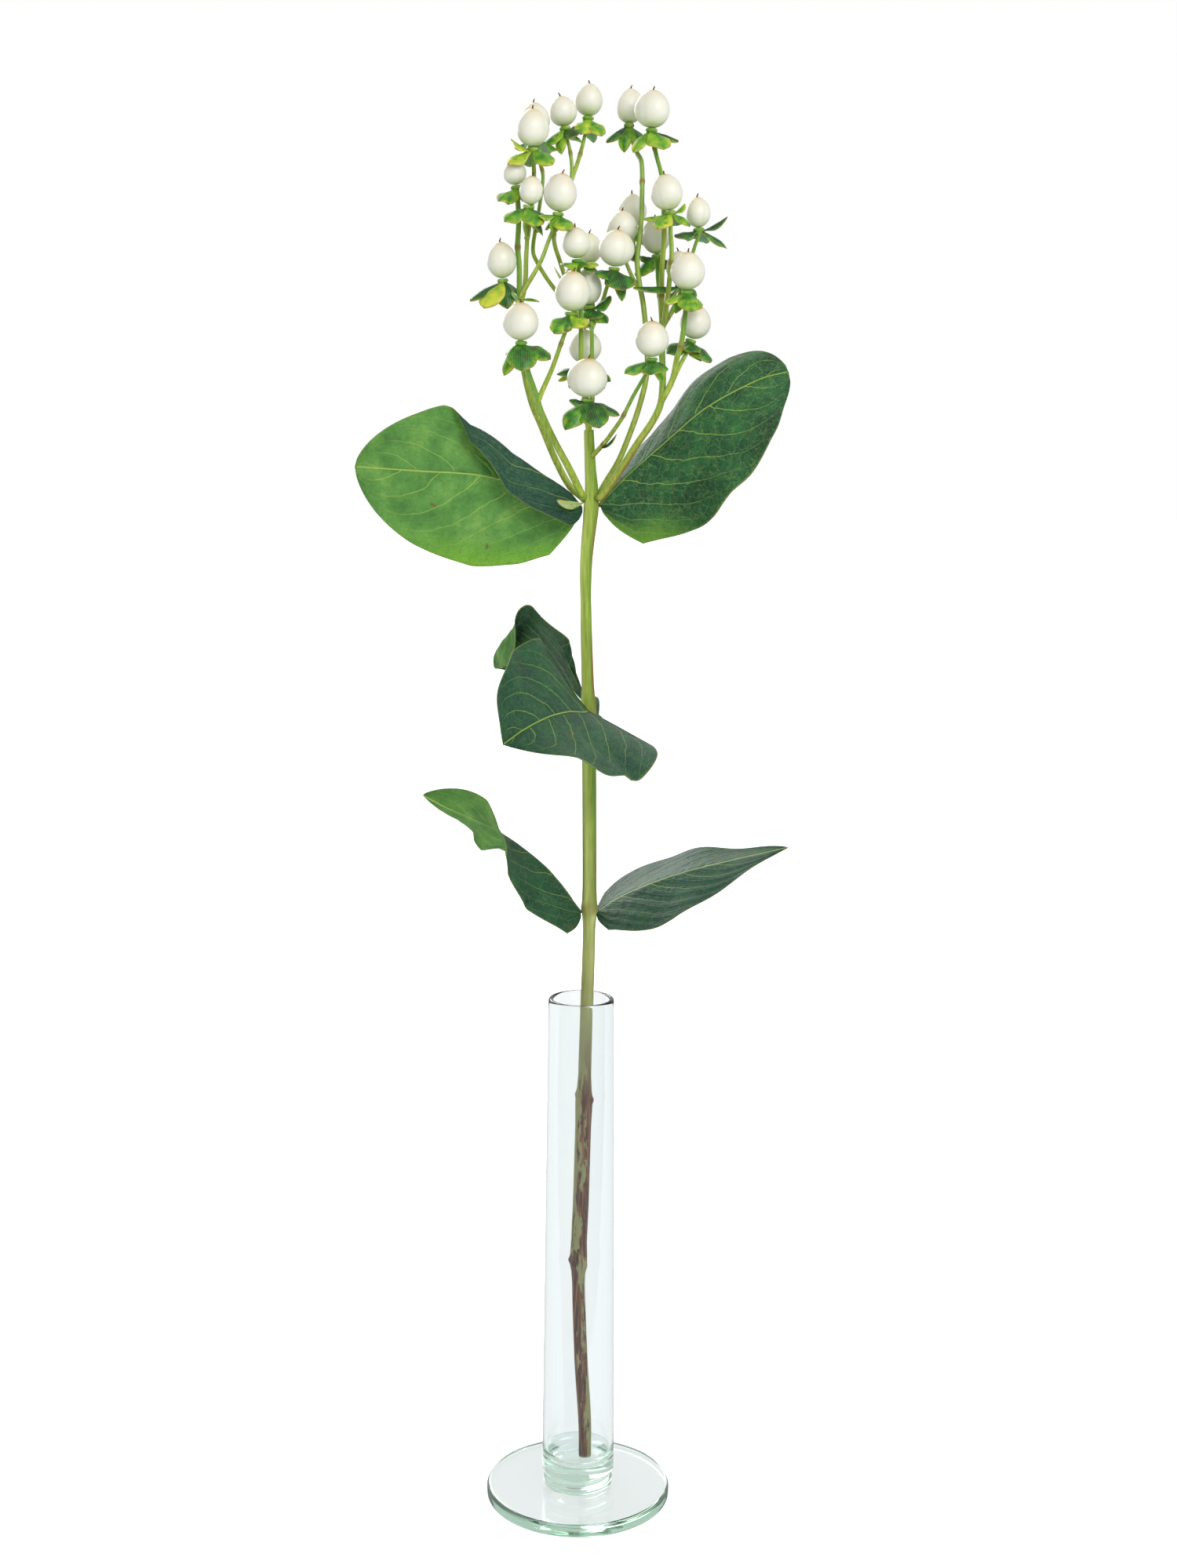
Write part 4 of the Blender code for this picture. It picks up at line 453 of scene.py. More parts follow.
def smooth_route(points, count):
    """Points at even steps along the smooth curve through the given ones: a cubic from each to the next, whose
    slope at a point is half the step from the point before to the point after."""
    p = np.array(points, float)
    if len(p) == 2:
        return p[0] + np.linspace(0, 1, count)[:, None] * (p[1] - p[0])
    p = np.vstack([2 * p[0] - p[1], p, 2 * p[-1] - p[-2]])
    a, b, c, d = (p[i:len(p) - 3 + i, None] for i in range(4))
    t = np.linspace(0, 1, 12, endpoint=False)[None, :, None]
    fine = 0.5 * (2 * b + (c - a) * t + (2 * a - 5 * b + 4 * c - d) * t**2 + (3 * b - a - 3 * c + d) * t**3)
    fine = np.vstack([fine.reshape(-1, 3), p[-2:-1]])
    along = np.concatenate([[0], np.cumsum(np.linalg.norm(np.diff(fine, axis=0), axis=1))])
    steps = np.linspace(0, along[-1], count)
    return np.stack([np.interp(steps, along, fine[:, i]) for i in range(3)], 1)


def across_frames(route):
    """Two unit directions across the route at each point, carried along it without twisting."""
    tangent = unit(np.gradient(route, axis=0))
    start = np.array([0.0, 1.0, 0.0]) if abs(tangent[0, 1]) < 0.9 else np.array([1.0, 0.0, 0.0])
    side = unit(start - tangent[0] * (start @ tangent[0]))
    sides = [side]
    for direction in tangent[1:]:
        side = unit(side - direction * (side @ direction))
        sides.append(side)
    sides = np.array(sides)
    return sides, np.cross(tangent, sides)


# A shape: points, four-sided faces, three-sided faces, marks (a number for each point, by name) and which of
# the piece's materials it wears.
Shape = namedtuple("Shape", "points quads fans marks look")


def skin(rings, marks=None, look=0, start=None, end=None):
    """A closed surface through a stack of rings, each (sides, 3): quads between neighbouring rings, and a fan
    to a middle point at each end."""
    stations, sides = rings.shape[:2]
    start = rings[0].mean(0) if start is None else np.array(start)
    end = rings[-1].mean(0) if end is None else np.array(end)
    points = np.vstack([rings.reshape(-1, 3), start[None], end[None]])
    i, j = np.meshgrid(np.arange(stations - 1), np.arange(sides), indexing="ij")
    a, b = i * sides + j, i * sides + (j + 1) % sides
    quads = np.stack([a, b, b + sides, a + sides], -1).reshape(-1, 4)
    j = np.arange(sides)
    k, last, first = (j + 1) % sides, (stations - 1) * sides, stations * sides
    fans = np.vstack([np.stack([np.full(sides, first), k, j], 1),
                      np.stack([np.full(sides, first + 1), last + j, last + k], 1)])
    flat = {}
    for name, values in (marks or {}).items():
        values = np.broadcast_to(values, (stations, sides)).astype(float)
        flat[name] = np.concatenate([values.ravel(), [values[0].mean(), values[-1].mean()]])
    return Shape(points, quads, fans, flat, look)


def piece(name, shapes, finishes, slot, *nodes):
    """One mesh object of several shapes, which replaces the CAD nodes named."""
    firsts = np.cumsum([0] + [len(shape.points) for shape in shapes])
    faces, looks = [], []
    for kind in ("quads", "fans"):
        for shape, first in zip(shapes, firsts):
            faces += (getattr(shape, kind) + first).tolist()
            looks += [shape.look] * len(getattr(shape, kind))
    mesh = bpy.data.meshes.new(name)
    mesh.from_pydata(np.vstack([shape.points for shape in shapes]).tolist(), [], faces)
    mesh.polygons.foreach_set("material_index", looks)
    for mark in sorted({mark for shape in shapes for mark in shape.marks}):
        values = [shape.marks.get(mark, np.zeros(len(shape.points))) for shape in shapes]
        mesh.attributes.new(mark, "FLOAT", "POINT").data.foreach_set("value", np.concatenate(values).astype(np.float32))
    mesh.shade_smooth()
    for look in finishes:
        mesh.materials.append(look)
    made = bpy.data.objects.new(name, mesh)
    bpy.context.scene.collection.objects.link(made)
    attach(made, "root")
    if nodes:
        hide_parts(*nodes)


# --------------------------------------
# Materials
# --------------------------------------
def blown_clear_glass():
    """Soda-lime glass, blown and fire-polished: clear and bright through the wall, with a cool green where
    light runs a long way inside it, as along the foot's edge."""
    made, tree, shader = finish("blown_clear_glass", {
        "Base Color": "#FCFEFF", "Roughness": 0.012, "IOR": 1.5, "Transmission Weight": 1.0})
    # Very slow unevenness of blown glass, about 9 mm across and a few microns high.
    where = add(tree, "TexCoord", out="Object")
    swell = add(tree, "TexNoise", {"Vector": where, "Scale": 110.0, "Detail": 1.0})
    connect(shader, {"Normal": add(tree, "Bump", {"Height": swell, "Strength": 0.06, "Distance": 0.0006})})
    body = add(tree, "VolumeAbsorption", {"Color": "#5FC08A", "Density": 13.0})
    connect(tree.nodes["Material Output"], {"Volume": body})
    return made


def waxy_berry_skin():
    """The berry's smooth skin with a thin bloom of wax: ivory, greener at the calyx, creamier at the top with a
    yellow ring round the styles, and a broad soft gloss."""
    made, tree, shader = finish("waxy_berry_skin", {
        "IOR": 1.42, "Subsurface Weight": 0.35, "Subsurface Radius": (1.0, 0.82, 0.5), "Subsurface Scale": 0.004,
        "Coat Weight": 0.18, "Coat Roughness": 0.22})
    where = add(tree, "TexCoord", out="Object")
    height, seam = (add(tree, "Attribute", out="Fac", attribute_name=mark) for mark in ("height", "seam"))
    # Uneven ripening in patches of about 5 mm.
    patches = add(tree, "TexNoise", {"Vector": where, "Scale": 210.0, "Detail": 2.0})
    shift = add(tree, "Math", {0: patches, 1: 0.5}, operation="SUBTRACT")
    place = add(tree, "Math", {0: shift, 1: 0.22, 2: height}, operation="MULTIPLY_ADD")
    colour = add(tree, "ValToRGB", {"Fac": place}, stops=[
        (0.0, "#B4C585"), (1.0, "#DFCB97"), (0.13, "#D4DABC"), (0.30, "#E5E5D8"), (0.62, "#E8E6D7"), (0.90, "#E5DEC5")])
    ring = add(tree, "ValToRGB", {"Fac": height}, stops=[(0.90, "#000000"), (1.0, "#FFFFFF"), (0.975, "#9A9A9A")])
    for share, over in ((ring, "#D9A24C"), (seam, "#C9D3A2")):
        colour = add(tree, "Mix", {SHARE: share, FIRST: colour, SECOND: over}, data_type="RGBA")
    # Fine pores of the skin, drawn about 0.5 mm apart so that they show.
    pores = add(tree, "TexNoise", {"Vector": where, "Scale": 1900.0, "Detail": 2.0})
    connect(shader, {
        "Base Color": colour, "Roughness": add(tree, "MapRange", {"Value": pores, "To Min": 0.30, "To Max": 0.44}),
        "Normal": add(tree, "Bump", {"Height": pores, "Strength": 0.05, "Distance": 0.0002})})
    return made


def dried_style():
    """The withered styles at a berry's tip: dry, dull and nearly black-brown."""
    made, tree, shader = finish("dried_style", {"Roughness": 0.8})
    grain = add(tree, "TexNoise", {"Vector": add(tree, "TexCoord", out="Object"), "Scale": 2500.0})
    tone = add(tree, "ValToRGB", {"Fac": grain}, stops=[(0.35, "#2A1C14"), (0.65, "#7A4A26")])
    connect(shader, {"Base Color": tone})
    return made


def green_stem_skin():
    """Living bark of the stem and stalks: satin green with paler ridges and fine lengthwise streaks, brown at
    the joints, and corky brown patches low down where it turns woody."""
    made, tree, shader = finish("green_stem_skin", {
        "IOR": 1.45, "Subsurface Weight": 0.12, "Subsurface Radius": (0.6, 1.0, 0.25), "Subsurface Scale": 0.002})
    where = add(tree, "TexCoord", out="Object")
    height = add(tree, "SeparateXYZ", {0: where}, out="Z")
    fresh, ridge, flush, side, cut = (add(tree, "Attribute", out="Fac", attribute_name=mark)
                                      for mark in ("fresh", "ridge", "flush", "bark", "cut"))
    # Streaks 0.8 mm wide and 12 times as long, which follow the stem's own length.
    drawn_out = add(tree, "Mapping", {"Vector": where, "Scale": (1.0, 1.0, 0.08)})
    streaks = add(tree, "TexNoise", {"Vector": drawn_out, "Scale": 1250.0, "Detail": 3.0})
    colour = add(tree, "ValToRGB", {"Fac": streaks}, stops=[(0.30, "#7C9430"), (0.72, "#B5C352"), (0.5, "#98AE3D")])
    # It ages to olive-grey from 280 mm down, and below 180 mm bark covers it in streaks 3 mm wide and 20 mm long.
    aged = add(tree, "MapRange", {
        "Value": height, "From Min": 0.280, "From Max": 0.180, "To Min": 0.0, "To Max": 0.95})
    low = add(tree, "MapRange", {"Value": height, "From Min": 0.185, "From Max": 0.158})
    flakes = add(tree, "Mapping", {"Vector": where, "Scale": (1.0, 1.0, 0.16)})
    bark = add(tree, "TexNoise", {"Vector": flakes, "Scale": 300.0, "Detail": 5.0, "Roughness": 0.7})
    sided = add(tree, "Math", {0: side, 1: 0.22, 2: bark}, operation="MULTIPLY_ADD")
    patch = add(tree, "MapRange", {"Value": sided, "From Min": 0.60, "From Max": 0.618})
    woody = add(tree, "Math", {0: patch, 1: low}, operation="MULTIPLY")
    cork = add(tree, "ValToRGB", {"Fac": streaks}, stops=[(0.35, "#3B1C10"), (0.66, "#9A6A3E"), (0.5, "#6B4028")])
    # 639A35 is the stalks' fresher green towards their berries, and on the main stem it is painted shade down its right
    # front side.
    for share, over in ((fresh, "#639A35"), (ridge, "#CBD67C"), (flush, "#8A5A34"), (aged, "#A09E6C"), (woody, cork),
                        (cut, "#B9C8A4")):
        colour = add(tree, "Mix", {SHARE: share, FIRST: colour, SECOND: over}, data_type="RGBA")
    # Lighter and darker clouds, about 11 mm across.
    clouds = add(tree, "TexNoise", {"Vector": where, "Scale": 90.0, "Detail": 3.0})
    shade = add(tree, "MapRange", {"Value": clouds, "To Min": 0.86, "To Max": 1.12})
    grain = add(tree, "Math", {0: streaks, 1: woody}, operation="ADD")
    connect(shader, {
        "Base Color": add(tree, "HueSaturation", {"Color": colour, "Value": shade}),
        "Roughness": add(tree, "MapRange", {"Value": streaks, "To Min": 0.42, "To Max": 0.62}),
        "Normal": add(tree, "Bump", {"Height": grain, "Strength": 0.35, "Distance": 0.00025})})
    return made


def sepal_tissue():
    """Fleshy sepals: dark waxy green along the middle, lime where the light comes through their margins, with
    a thin red-brown edge, and fine veins that run lengthwise."""
    made, tree, shader = finish("sepal_tissue", {
        "IOR": 1.45, "Subsurface Weight": 0.2, "Subsurface Radius": (0.5, 1.0, 0.15), "Subsurface Scale": 0.0015,
        "Coat Weight": 0.10, "Coat Roughness": 0.35})
    where = add(tree, "TexCoord", out="Object")
    lime, edge, along, under, across = (add(tree, "Attribute", out="Fac", attribute_name=mark)
                                        for mark in ("lime", "edge", "along", "under", "across"))
    # Blotches about 3 mm across. A sepal is limer towards its tip and margins.
    blotch = add(tree, "TexNoise", {"Vector": where, "Scale": 330.0, "Detail": 3.0})
    reach = add(tree, "Math", {0: edge, 1: along}, operation="MULTIPLY")
    paler = add(tree, "Math", {0: lime, 1: 0.50}, operation="MULTIPLY")
    more = add(tree, "Math", {0: reach, 1: 0.34, 2: paler}, operation="MULTIPLY_ADD")
    mixed = add(tree, "Math", {0: blotch, 1: 0.74, 2: more}, operation="MULTIPLY_ADD")
    colour = add(tree, "ValToRGB", {"Fac": mixed}, stops=[
        (0.30, "#163D19"), (1.0, "#C9CC38"), (0.46, "#235A1E"), (0.62, "#3F8420"), (0.80, "#7FAF22")])
    bloom = add(tree, "Math", {0: under, 1: 0.55}, operation="MULTIPLY")
    # Lengthwise veins, about 0.8 mm apart.
    wave = add(tree, "Math", {0: across, 1: 26.0}, operation="MULTIPLY")
    lines = add(tree, "Math", {0: wave}, operation="COSINE")
    limit = add(tree, "Math", {0: lime, 1: 0.40, 2: 0.16}, operation="MULTIPLY_ADD")
    # Purple-brown spots, 1 to 2 mm across, on some of the sepals.
    fleck = add(tree, "TexNoise", {"Vector": where, "Scale": 520.0, "Detail": 1.0})
    veined, yellow, rim, brown, spot = (
        add(tree, "MapRange", {"Value": value, "From Min": low, "From Max": high, "To Min": 0.0, "To Max": most})
        for value, low, high, most in ((lines, 0.6, 1.0, 0.16), (edge, 0.78, 0.97, limit), (reach, 0.55, 0.80, 0.7),
                                       (along, 0.92, 1.0, 0.6), (fleck, 0.66, 0.72, 0.6)))
    for share, over in ((bloom, "#93B598"), (veined, "#A9C85A"), (yellow, "#C6C545"), (rim, "#A9703C"),
                        (brown, "#8A4A36"), (spot, "#56342E")):
        colour = add(tree, "Mix", {SHARE: share, FIRST: colour, SECOND: over}, data_type="RGBA")
    connect(shader, {
        "Base Color": colour, "Roughness": add(tree, "MapRange", {"Value": blotch, "To Min": 0.34, "To Max": 0.52}),
        "Normal": add(tree, "Bump", {"Height": lines, "Strength": 0.12, "Distance": 0.00015})})
    return made


def leaf_tissue():
    """A hypericum leaf: deep green and waxy above, lighter and duller below, with a pale midrib, side veins that
    sweep towards the tip and a fine net between them, whose cells swell a little."""
    made, tree, shader = finish("leaf_tissue", {
        "IOR": 1.42, "Subsurface Weight": 0.08, "Subsurface Radius": (0.4, 1.0, 0.2), "Subsurface Scale": 0.001})
    where = add(tree, "TexCoord", out="Object")
    phase, from_rib, edge, under, teal, lime = (
        add(tree, "Attribute", out="Fac", attribute_name=mark)
        for mark in ("vein_phase", "from_midrib", "edge", "under", "teal", "lime"))
    # A side vein lies where its phase is a whole number, 12 mm apart along the midrib, and wanders by 1 mm.
    wander = add(tree, "TexNoise", {"Vector": where, "Scale": 140.0, "Detail": 3.0})
    wandered = add(tree, "Math", {0: wander, 1: 0.34, 2: phase}, operation="MULTIPLY_ADD")
    near = add(tree, "Math", {0: wandered, 1: 0.5}, operation="PINGPONG")
    # The net: cells about 4.5 mm across with thin pale walls, and 1.5 mm ones that only swell.
    bend = add(tree, "TexNoise", {"Vector": where, "Scale": 320.0, "Detail": 2.0}, out="Color")
    bent = add(tree, "Mix", {SHARE: 0.006, FIRST_VECTOR: where, SECOND_VECTOR: bend}, data_type="VECTOR")
    net, cells = (add(tree, "TexVoronoi", {"Vector": bent, "Scale": scale}, feature="DISTANCE_TO_EDGE")
                  for scale in (225.0, 650.0))
    # Brown specks, one or two in 30 mm.
    specks = add(tree, "TexNoise", {"Vector": where, "Scale": 160.0, "Detail": 1.0})
    vein, fade, rib, wall, crease, rim, spot = (
        add(tree, "MapRange", {"Value": value, "From Min": low, "From Max": high, "To Min": least, "To Max": most})
        for value, low, high, least, most in (
            (near, 0.024, 0.008, 0.0, 1.0), (edge, 0.98, 0.5, 0.12, 0.7), (from_rib, 0.34, 0.12, 0.0, 1.0),
            (net, 0.050, 0.014, 0.0, 0.36), (cells, 0.10, 0.0, 0.0, 0.22), (edge, 0.975, 1.0, 0.0, 0.6),
            (specks, 0.75, 0.78, 0.0, 0.7)))
    side_vein = add(tree, "Math", {0: vein, 1: fade}, operation="MULTIPLY")
    veins = add(tree, "Math", {0: side_vein, 1: rib}, operation="MAXIMUM")
    # The net is faint on the bluish leaves. It is paler than the upper face and darker than the lower one.
    both = add(tree, "Math", {0: wall, 1: crease}, operation="MAXIMUM")
    bare = add(tree, "MapRange", {"Value": teal, "To Min": 1.0, "To Max": 0.25})
    plain = add(tree, "Math", {0: bare, 1: under}, operation="MAXIMUM")
    lace = add(tree, "Math", {0: both, 1: plain}, operation="MULTIPLY")
    thread = add(tree, "Mix", {SHARE: under, FIRST: "#83A65A", SECOND: "#3C6E2C"}, data_type="RGBA")
    # Lighter and darker mottling in patches of about 12 mm.
    mottle = add(tree, "TexNoise", {"Vector": where, "Scale": 85.0, "Detail": 6.0, "Roughness": 0.65})
    colour, lower = (add(tree, "ValToRGB", {"Fac": mottle}, stops=stops) for stops in (
        [(0.30, "#163F26"), (0.74, "#377A3F"), (0.5, "#225A33")],
        [(0.30, "#3F7430"), (0.74, "#80AC50"), (0.5, "#5C9440")]))
    cool = add(tree, "Math", {0: teal, 1: 0.8}, operation="MULTIPLY")
    for share, over in ((cool, "#16423A"), (under, lower), (lime, "#76AE2B"), (lace, thread), (veins, "#A3BE55"),
                        (rim, "#8C9A45"), (spot, "#6A4A30")):
        colour = add(tree, "Mix", {SHARE: share, FIRST: colour, SECOND: over}, data_type="RGBA")
    # The bluish leaves have the thicker wax, so the softer sheen of the greener ones is duller.
    waxy = add(tree, "MapRange", {"Value": teal, "To Min": 0.62, "To Max": 0.40})
    # Fine wrinkles, about 1.5 mm apart, which run out from the midrib beside the side veins.
    course = add(tree, "CombineXYZ", {"X": add(tree, "Math", {0: phase, 1: 9.0}, operation="MULTIPLY"),
                                      "Y": add(tree, "Math", {0: from_rib, 1: 0.16}, operation="MULTIPLY")})
    wrinkle = add(tree, "TexNoise", {
        "Vector": course, "Scale": 1.0, "Detail": 3.0, "Roughness": 0.6, "Distortion": 0.5})
    # Veins are sunk above and stand out below; the cells between them swell the other way.
    height = add(tree, "MapRange", {"Value": net, "From Min": 0.0, "From Max": 0.35})
    for form, most in ((cells, 1.1), (wrinkle, 4.2), (veins, -0.9)):
        height = add(tree, "Math", {0: form, 1: most, 2: height}, operation="MULTIPLY_ADD")
    way = add(tree, "MapRange", {"Value": under, "To Min": 1.0, "To Max": -0.7})
    relief = add(tree, "Math", {0: height, 1: way}, operation="MULTIPLY")
    connect(shader, {
        "Base Color": colour, "Roughness": add(tree, "MapRange", {"Value": under, "To Min": waxy, "To Max": 0.65}),
        "Normal": add(tree, "Bump", {"Height": relief, "Strength": 0.55, "Distance": 0.0003})})
    return made


# --------------------------------------
# The vase
# --------------------------------------
def arc(middle, radius, start, end, count):
    """Points of an arc in the profile plane, from one angle to another in degrees."""
    angle = np.radians(np.linspace(start, end, count))
    return np.stack([middle[0] + radius * np.cos(angle), middle[1] + radius * np.sin(angle)], 1)


def vase_shape():
    """Rings of radius r at height z about the Z axis, along the profile: out over the floor, up the inside,
    round the lip and down the outside to the foot. The straight runs get in-between rings."""
    lip = WALL / 2
    turn = np.radians(np.linspace(0, 90, 13))
    floor = np.stack([FLOOR_FLAT_RADIUS + (TUBE_LOW_RADIUS - WALL - FLOOR_FLAT_RADIUS) * np.sin(turn),
                      FLOOR_HEIGHT + FLOOR_CURVE_HEIGHT * (1 - np.cos(turn))], 1)
    middle = (FOOT_THICKNESS + JOINT_TOP) / 2
    profile = np.vstack([
        [(FLOOR_MIDDLE_RING, FLOOR_HEIGHT)], floor,
        arc((TUBE_RIM_RADIUS - lip, VASE_HEIGHT - lip), lip, 180, 0, 15),
        arc((TUBE_LOW_RADIUS - TUBE_EDGE, TUBE_LOW_HEIGHT), TUBE_EDGE, 0, -70, 9),
        arc((JOINT_RADIUS - JOINT_EDGE, middle), JOINT_EDGE, 60, -60, 11),
        arc((FOOT_RADIUS - FOOT_EDGE, FOOT_THICKNESS - FOOT_EDGE), FOOT_EDGE, 90, 0, 11),
        arc((FOOT_RADIUS - FOOT_EDGE / 2, FOOT_EDGE / 2), FOOT_EDGE / 2, 0, -90, 7), [(UNDERSIDE_RING, 0.0)]])
    length = np.concatenate([[0], np.cumsum(np.linalg.norm(np.diff(profile, axis=0), axis=1))])
    even = np.unique(np.concatenate([length, np.arange(0, length[-1], RING_STEP)]).round(6))
    radius, height = (np.interp(even, length, profile[:, i]) for i in (0, 1))
    angle = -np.arange(VASE_SIDES) * 2 * np.pi / VASE_SIDES
    rings = np.stack([radius[:, None] * np.cos(angle), radius[:, None] * np.sin(angle),
                      height[:, None] + 0 * angle], -1)
    return skin(rings, start=(0, 0, FLOOR_HEIGHT), end=(0, 0, 0))


# --------------------------------------
# Berries
# --------------------------------------
def berry_frame(berry):
    """The berry's side and back directions and its own long axis: up, leaned to the right and to the back."""
    axis = unit(np.array([math.tan(math.radians(berry.right)), math.tan(math.radians(berry.back)), 1.0]))
    side = unit(np.cross(np.array([0.0, 1.0, 0.0]), axis))
    return side, np.cross(axis, side), axis


def berry_shapes(berry):
    """The berry: radius = d/2 * sin(pi s^0.92)^0.5 at height s, times a slight three-lobed swell, less a faint
    seam in each hollow. The styles: a thin bent cone on its top, thicker near its tip."""
    side, other, axis = berry_frame(berry)
    base = np.array(berry.base)
    place = (1 - np.cos(np.linspace(0.09, np.pi - 0.07, BERRY_RINGS))) / 2
    angle = np.arange(BERRY_SIDES) * 2 * np.pi / BERRY_SIDES
    lobe = np.cos(3 * (angle - math.radians(berry.turn)))
    radius = berry.diameter / 2 * np.sin(np.pi * place**BERRY_SKEW) ** BERRY_ROUNDNESS
    seam = np.exp(-((1 + lobe) / 0.035)) * (0.25 + 0.75 * (1 - place[:, None]) ** 1.5) * (place[:, None] < 0.93)
    swell = 1 + BERRY_LOBE * lobe - SEAM_DEPTH * seam
    rings = base + axis * (berry.length * place)[:, None, None] + (radius[:, None] * swell)[..., None] * (
        np.cos(angle)[:, None] * side + np.sin(angle)[:, None] * other)
    top = base + axis * berry.length
    fruit = skin(rings, {"height": place[:, None], "seam": 0.55 * seam}, 0, base, top)
    share = np.linspace(0, 1, 7)
    lean = unit(side * math.cos(berry.turn) + other * math.sin(berry.turn))
    spine = top + axis * (share * STYLE_LENGTH - STYLE_SUNK)[:, None] + lean * (STYLE_LEAN * share**2)[:, None]
    angle = np.arange(8) * np.pi / 4
    width = STYLE_RADIUS * (1 - 0.75 * share) + STYLE_KNOB * np.exp(-((share - 0.85) / 0.12) ** 2)
    rings = spine[:, None] + width[:, None, None] * (np.cos(angle)[:, None] * side + np.sin(angle)[:, None] * other)
    return [fruit, skin(rings, look=1)]


# --------------------------------------
# Stem and stalks
# --------------------------------------
def tube_rings(route, radii, sides, swell=0.0):
    """Round rings along a route, each radius times (1 + swell), where swell may change round and along."""
    side, other = across_frames(route)
    angle = np.arange(sides) * 2 * np.pi / sides
    radius = radii[:, None] * (1 + swell)
    return route[:, None] + radius[..., None] * (side[:, None] * np.cos(angle)[:, None]
                                                 + other[:, None] * np.sin(angle)[:, None])


def right_edge(angle):
    """1 on the right-hand front edge of a ring and 0 away from it. A ring's angles start at the back and run left."""
    return np.exp(-((angle - 1.39 * np.pi) / 0.50) ** 2)


def stem_shape():
    """The main stem: its radius follows its height and swells at each leaf node, with two ridges, cos(2a), that
    turn at every node, and leaf scars that stand out."""
    route = smooth_route(STEM_PATH, STEM_STATIONS)
    height = route[:, 2]
    radius = np.interp(height, *np.array(STEM_RADII).T)
    angle = np.arange(STEM_SIDES) * 2 * np.pi / STEM_SIDES
    turn_heights, turns = RIDGE_TURNS
    wave = np.cos(2 * (angle - np.interp(height, turn_heights, np.radians(turns))[:, None]))
    swell = STEM_RIDGE * np.sign(wave) * np.abs(wave) ** 2.5
    for place, side, out in SCARS:
        near = np.exp(-((height[:, None] - place) / SCAR_HALF_HEIGHT) ** 2)
        gap = np.abs((angle - math.radians(side) + 1.5 * np.pi) % (2 * np.pi) - np.pi)
        swell = swell + out / radius[:, None] * near * np.exp(-(gap / 0.7) ** 2)
    # Brown round each leaf node, and red-brown on the right edge below the two upper ones.
    node = np.exp(-((height[:, None] - LEAF_NODES) / 0.0022) ** 2).max(1)
    heights, widths, strengths = FLUSH_BANDS
    band = np.exp(-((height[:, None] - heights) / widths) ** 2) @ strengths
    flush = np.maximum(0.45 * node[:, None], band[:, None] * right_edge(angle))
    # Bark grows on the right between the two lowest nodes, and on the left below them.
    lower = smooth_step(*BARK_CHANGES_SIDE, height[:, None])
    bark = 0.5 + 0.5 * ((1 - lower) * np.cos(angle - 1.42 * np.pi) + lower * np.cos(angle - 0.62 * np.pi))
    return skin(tube_rings(route, radius, STEM_SIDES, swell), {
        "bark": bark, "ridge": np.clip(wave, 0, 1) ** 3 * 0.8, "flush": flush,
        "cut": (np.arange(STEM_STATIONS) == 0)[:, None],
        # Painted shade: a darker mid-green down the right front side of the main stem.
        "fresh": 0.6 * np.exp(-((angle - 1.28 * np.pi) / 0.62) ** 2)})


def stalk_tube(stalk, step=0.008, rises=(RECEPTACLE_HEIGHT - RECEPTACLE_EDGE,), grows=(1.0,)):
    """The middle line and radii of one stalk, which flares into the receptacle under its berry: at each rise
    above its neck it has grown by that share towards the receptacle's radius."""
    berry = BERRIES[stalk.berry]
    axis = berry_frame(berry)[2]
    top = np.array(berry.base) - axis * GAP
    neck = top - axis * RECEPTACLE_HEIGHT
    length = np.linalg.norm(np.diff(np.array(stalk.route + [tuple(neck)]), axis=0), axis=1).sum()
    count = max(3, int(round(length / step)))
    route = smooth_route(stalk.route + [tuple(neck)], count)
    radii = stalk.width / 2 * np.linspace(1, STALK_TAPER, count)
    flare = radii[-1] + (RECEPTACLE_RADIUS - radii[-1]) * np.array(grows)
    route = np.vstack([route, neck + np.outer(rises, axis), top])
    return route, np.concatenate([radii, flare, [RECEPTACLE_RADIUS * RECEPTACLE_TOP]])


def stalk_shape(stalk, draw, flushed, foot):
    """A stalk: a round tube with two faint ridges, swollen where it has a brown joint. A flushed one is
    red-brown along its right edge near its foot, and a foot of some length lets it reach the main stem."""
    route, radii = stalk_tube(stalk, STALK_STEP, FLARE_RISES, FLARE_GROWS)
    if foot:
        # It points at the main stem's middle, 9 mm behind the vase's axis here and 1 mm lower.
        back = unit(np.array([0.0, 0.009, route[0, 2] - 0.001]) - route[0])
        route, radii = np.vstack([route[:1] + foot * back, route]), np.concatenate([radii[:1], radii])
    share = np.linspace(0, 1, len(route))
    angle = np.arange(STALK_SIDES) * 2 * np.pi / STALK_SIDES
    millimetres = share * np.linalg.norm(np.diff(route, axis=0), axis=1).sum() / MM
    joint = np.zeros(len(route))
    for place in JOINTS.get(stalk.berry, ()):
        joint = np.maximum(joint, np.exp(-((millimetres - place * millimetres[-1]) / JOINT_LENGTH) ** 2))
    wave = np.cos(2 * angle + draw.uniform(0, 6))
    swell = STALK_RIDGE * wave + JOINT_SWELL * joint[:, None]
    fresh = smooth_step(0.25, 0.8, share) * draw.uniform(0.5, 0.95)
    rings = tube_rings(route, radii, STALK_SIDES, swell)
    flush = np.maximum(0.8 * joint[:, None], flushed * (1 - smooth_step(0.15, 0.5, share))[:, None] * right_edge(angle))
    return skin(rings, {"ridge": np.clip(wave, 0, 1) ** 2 * 0.45, "flush": flush,
                        "cut": 0.0, "fresh": fresh[:, None]})


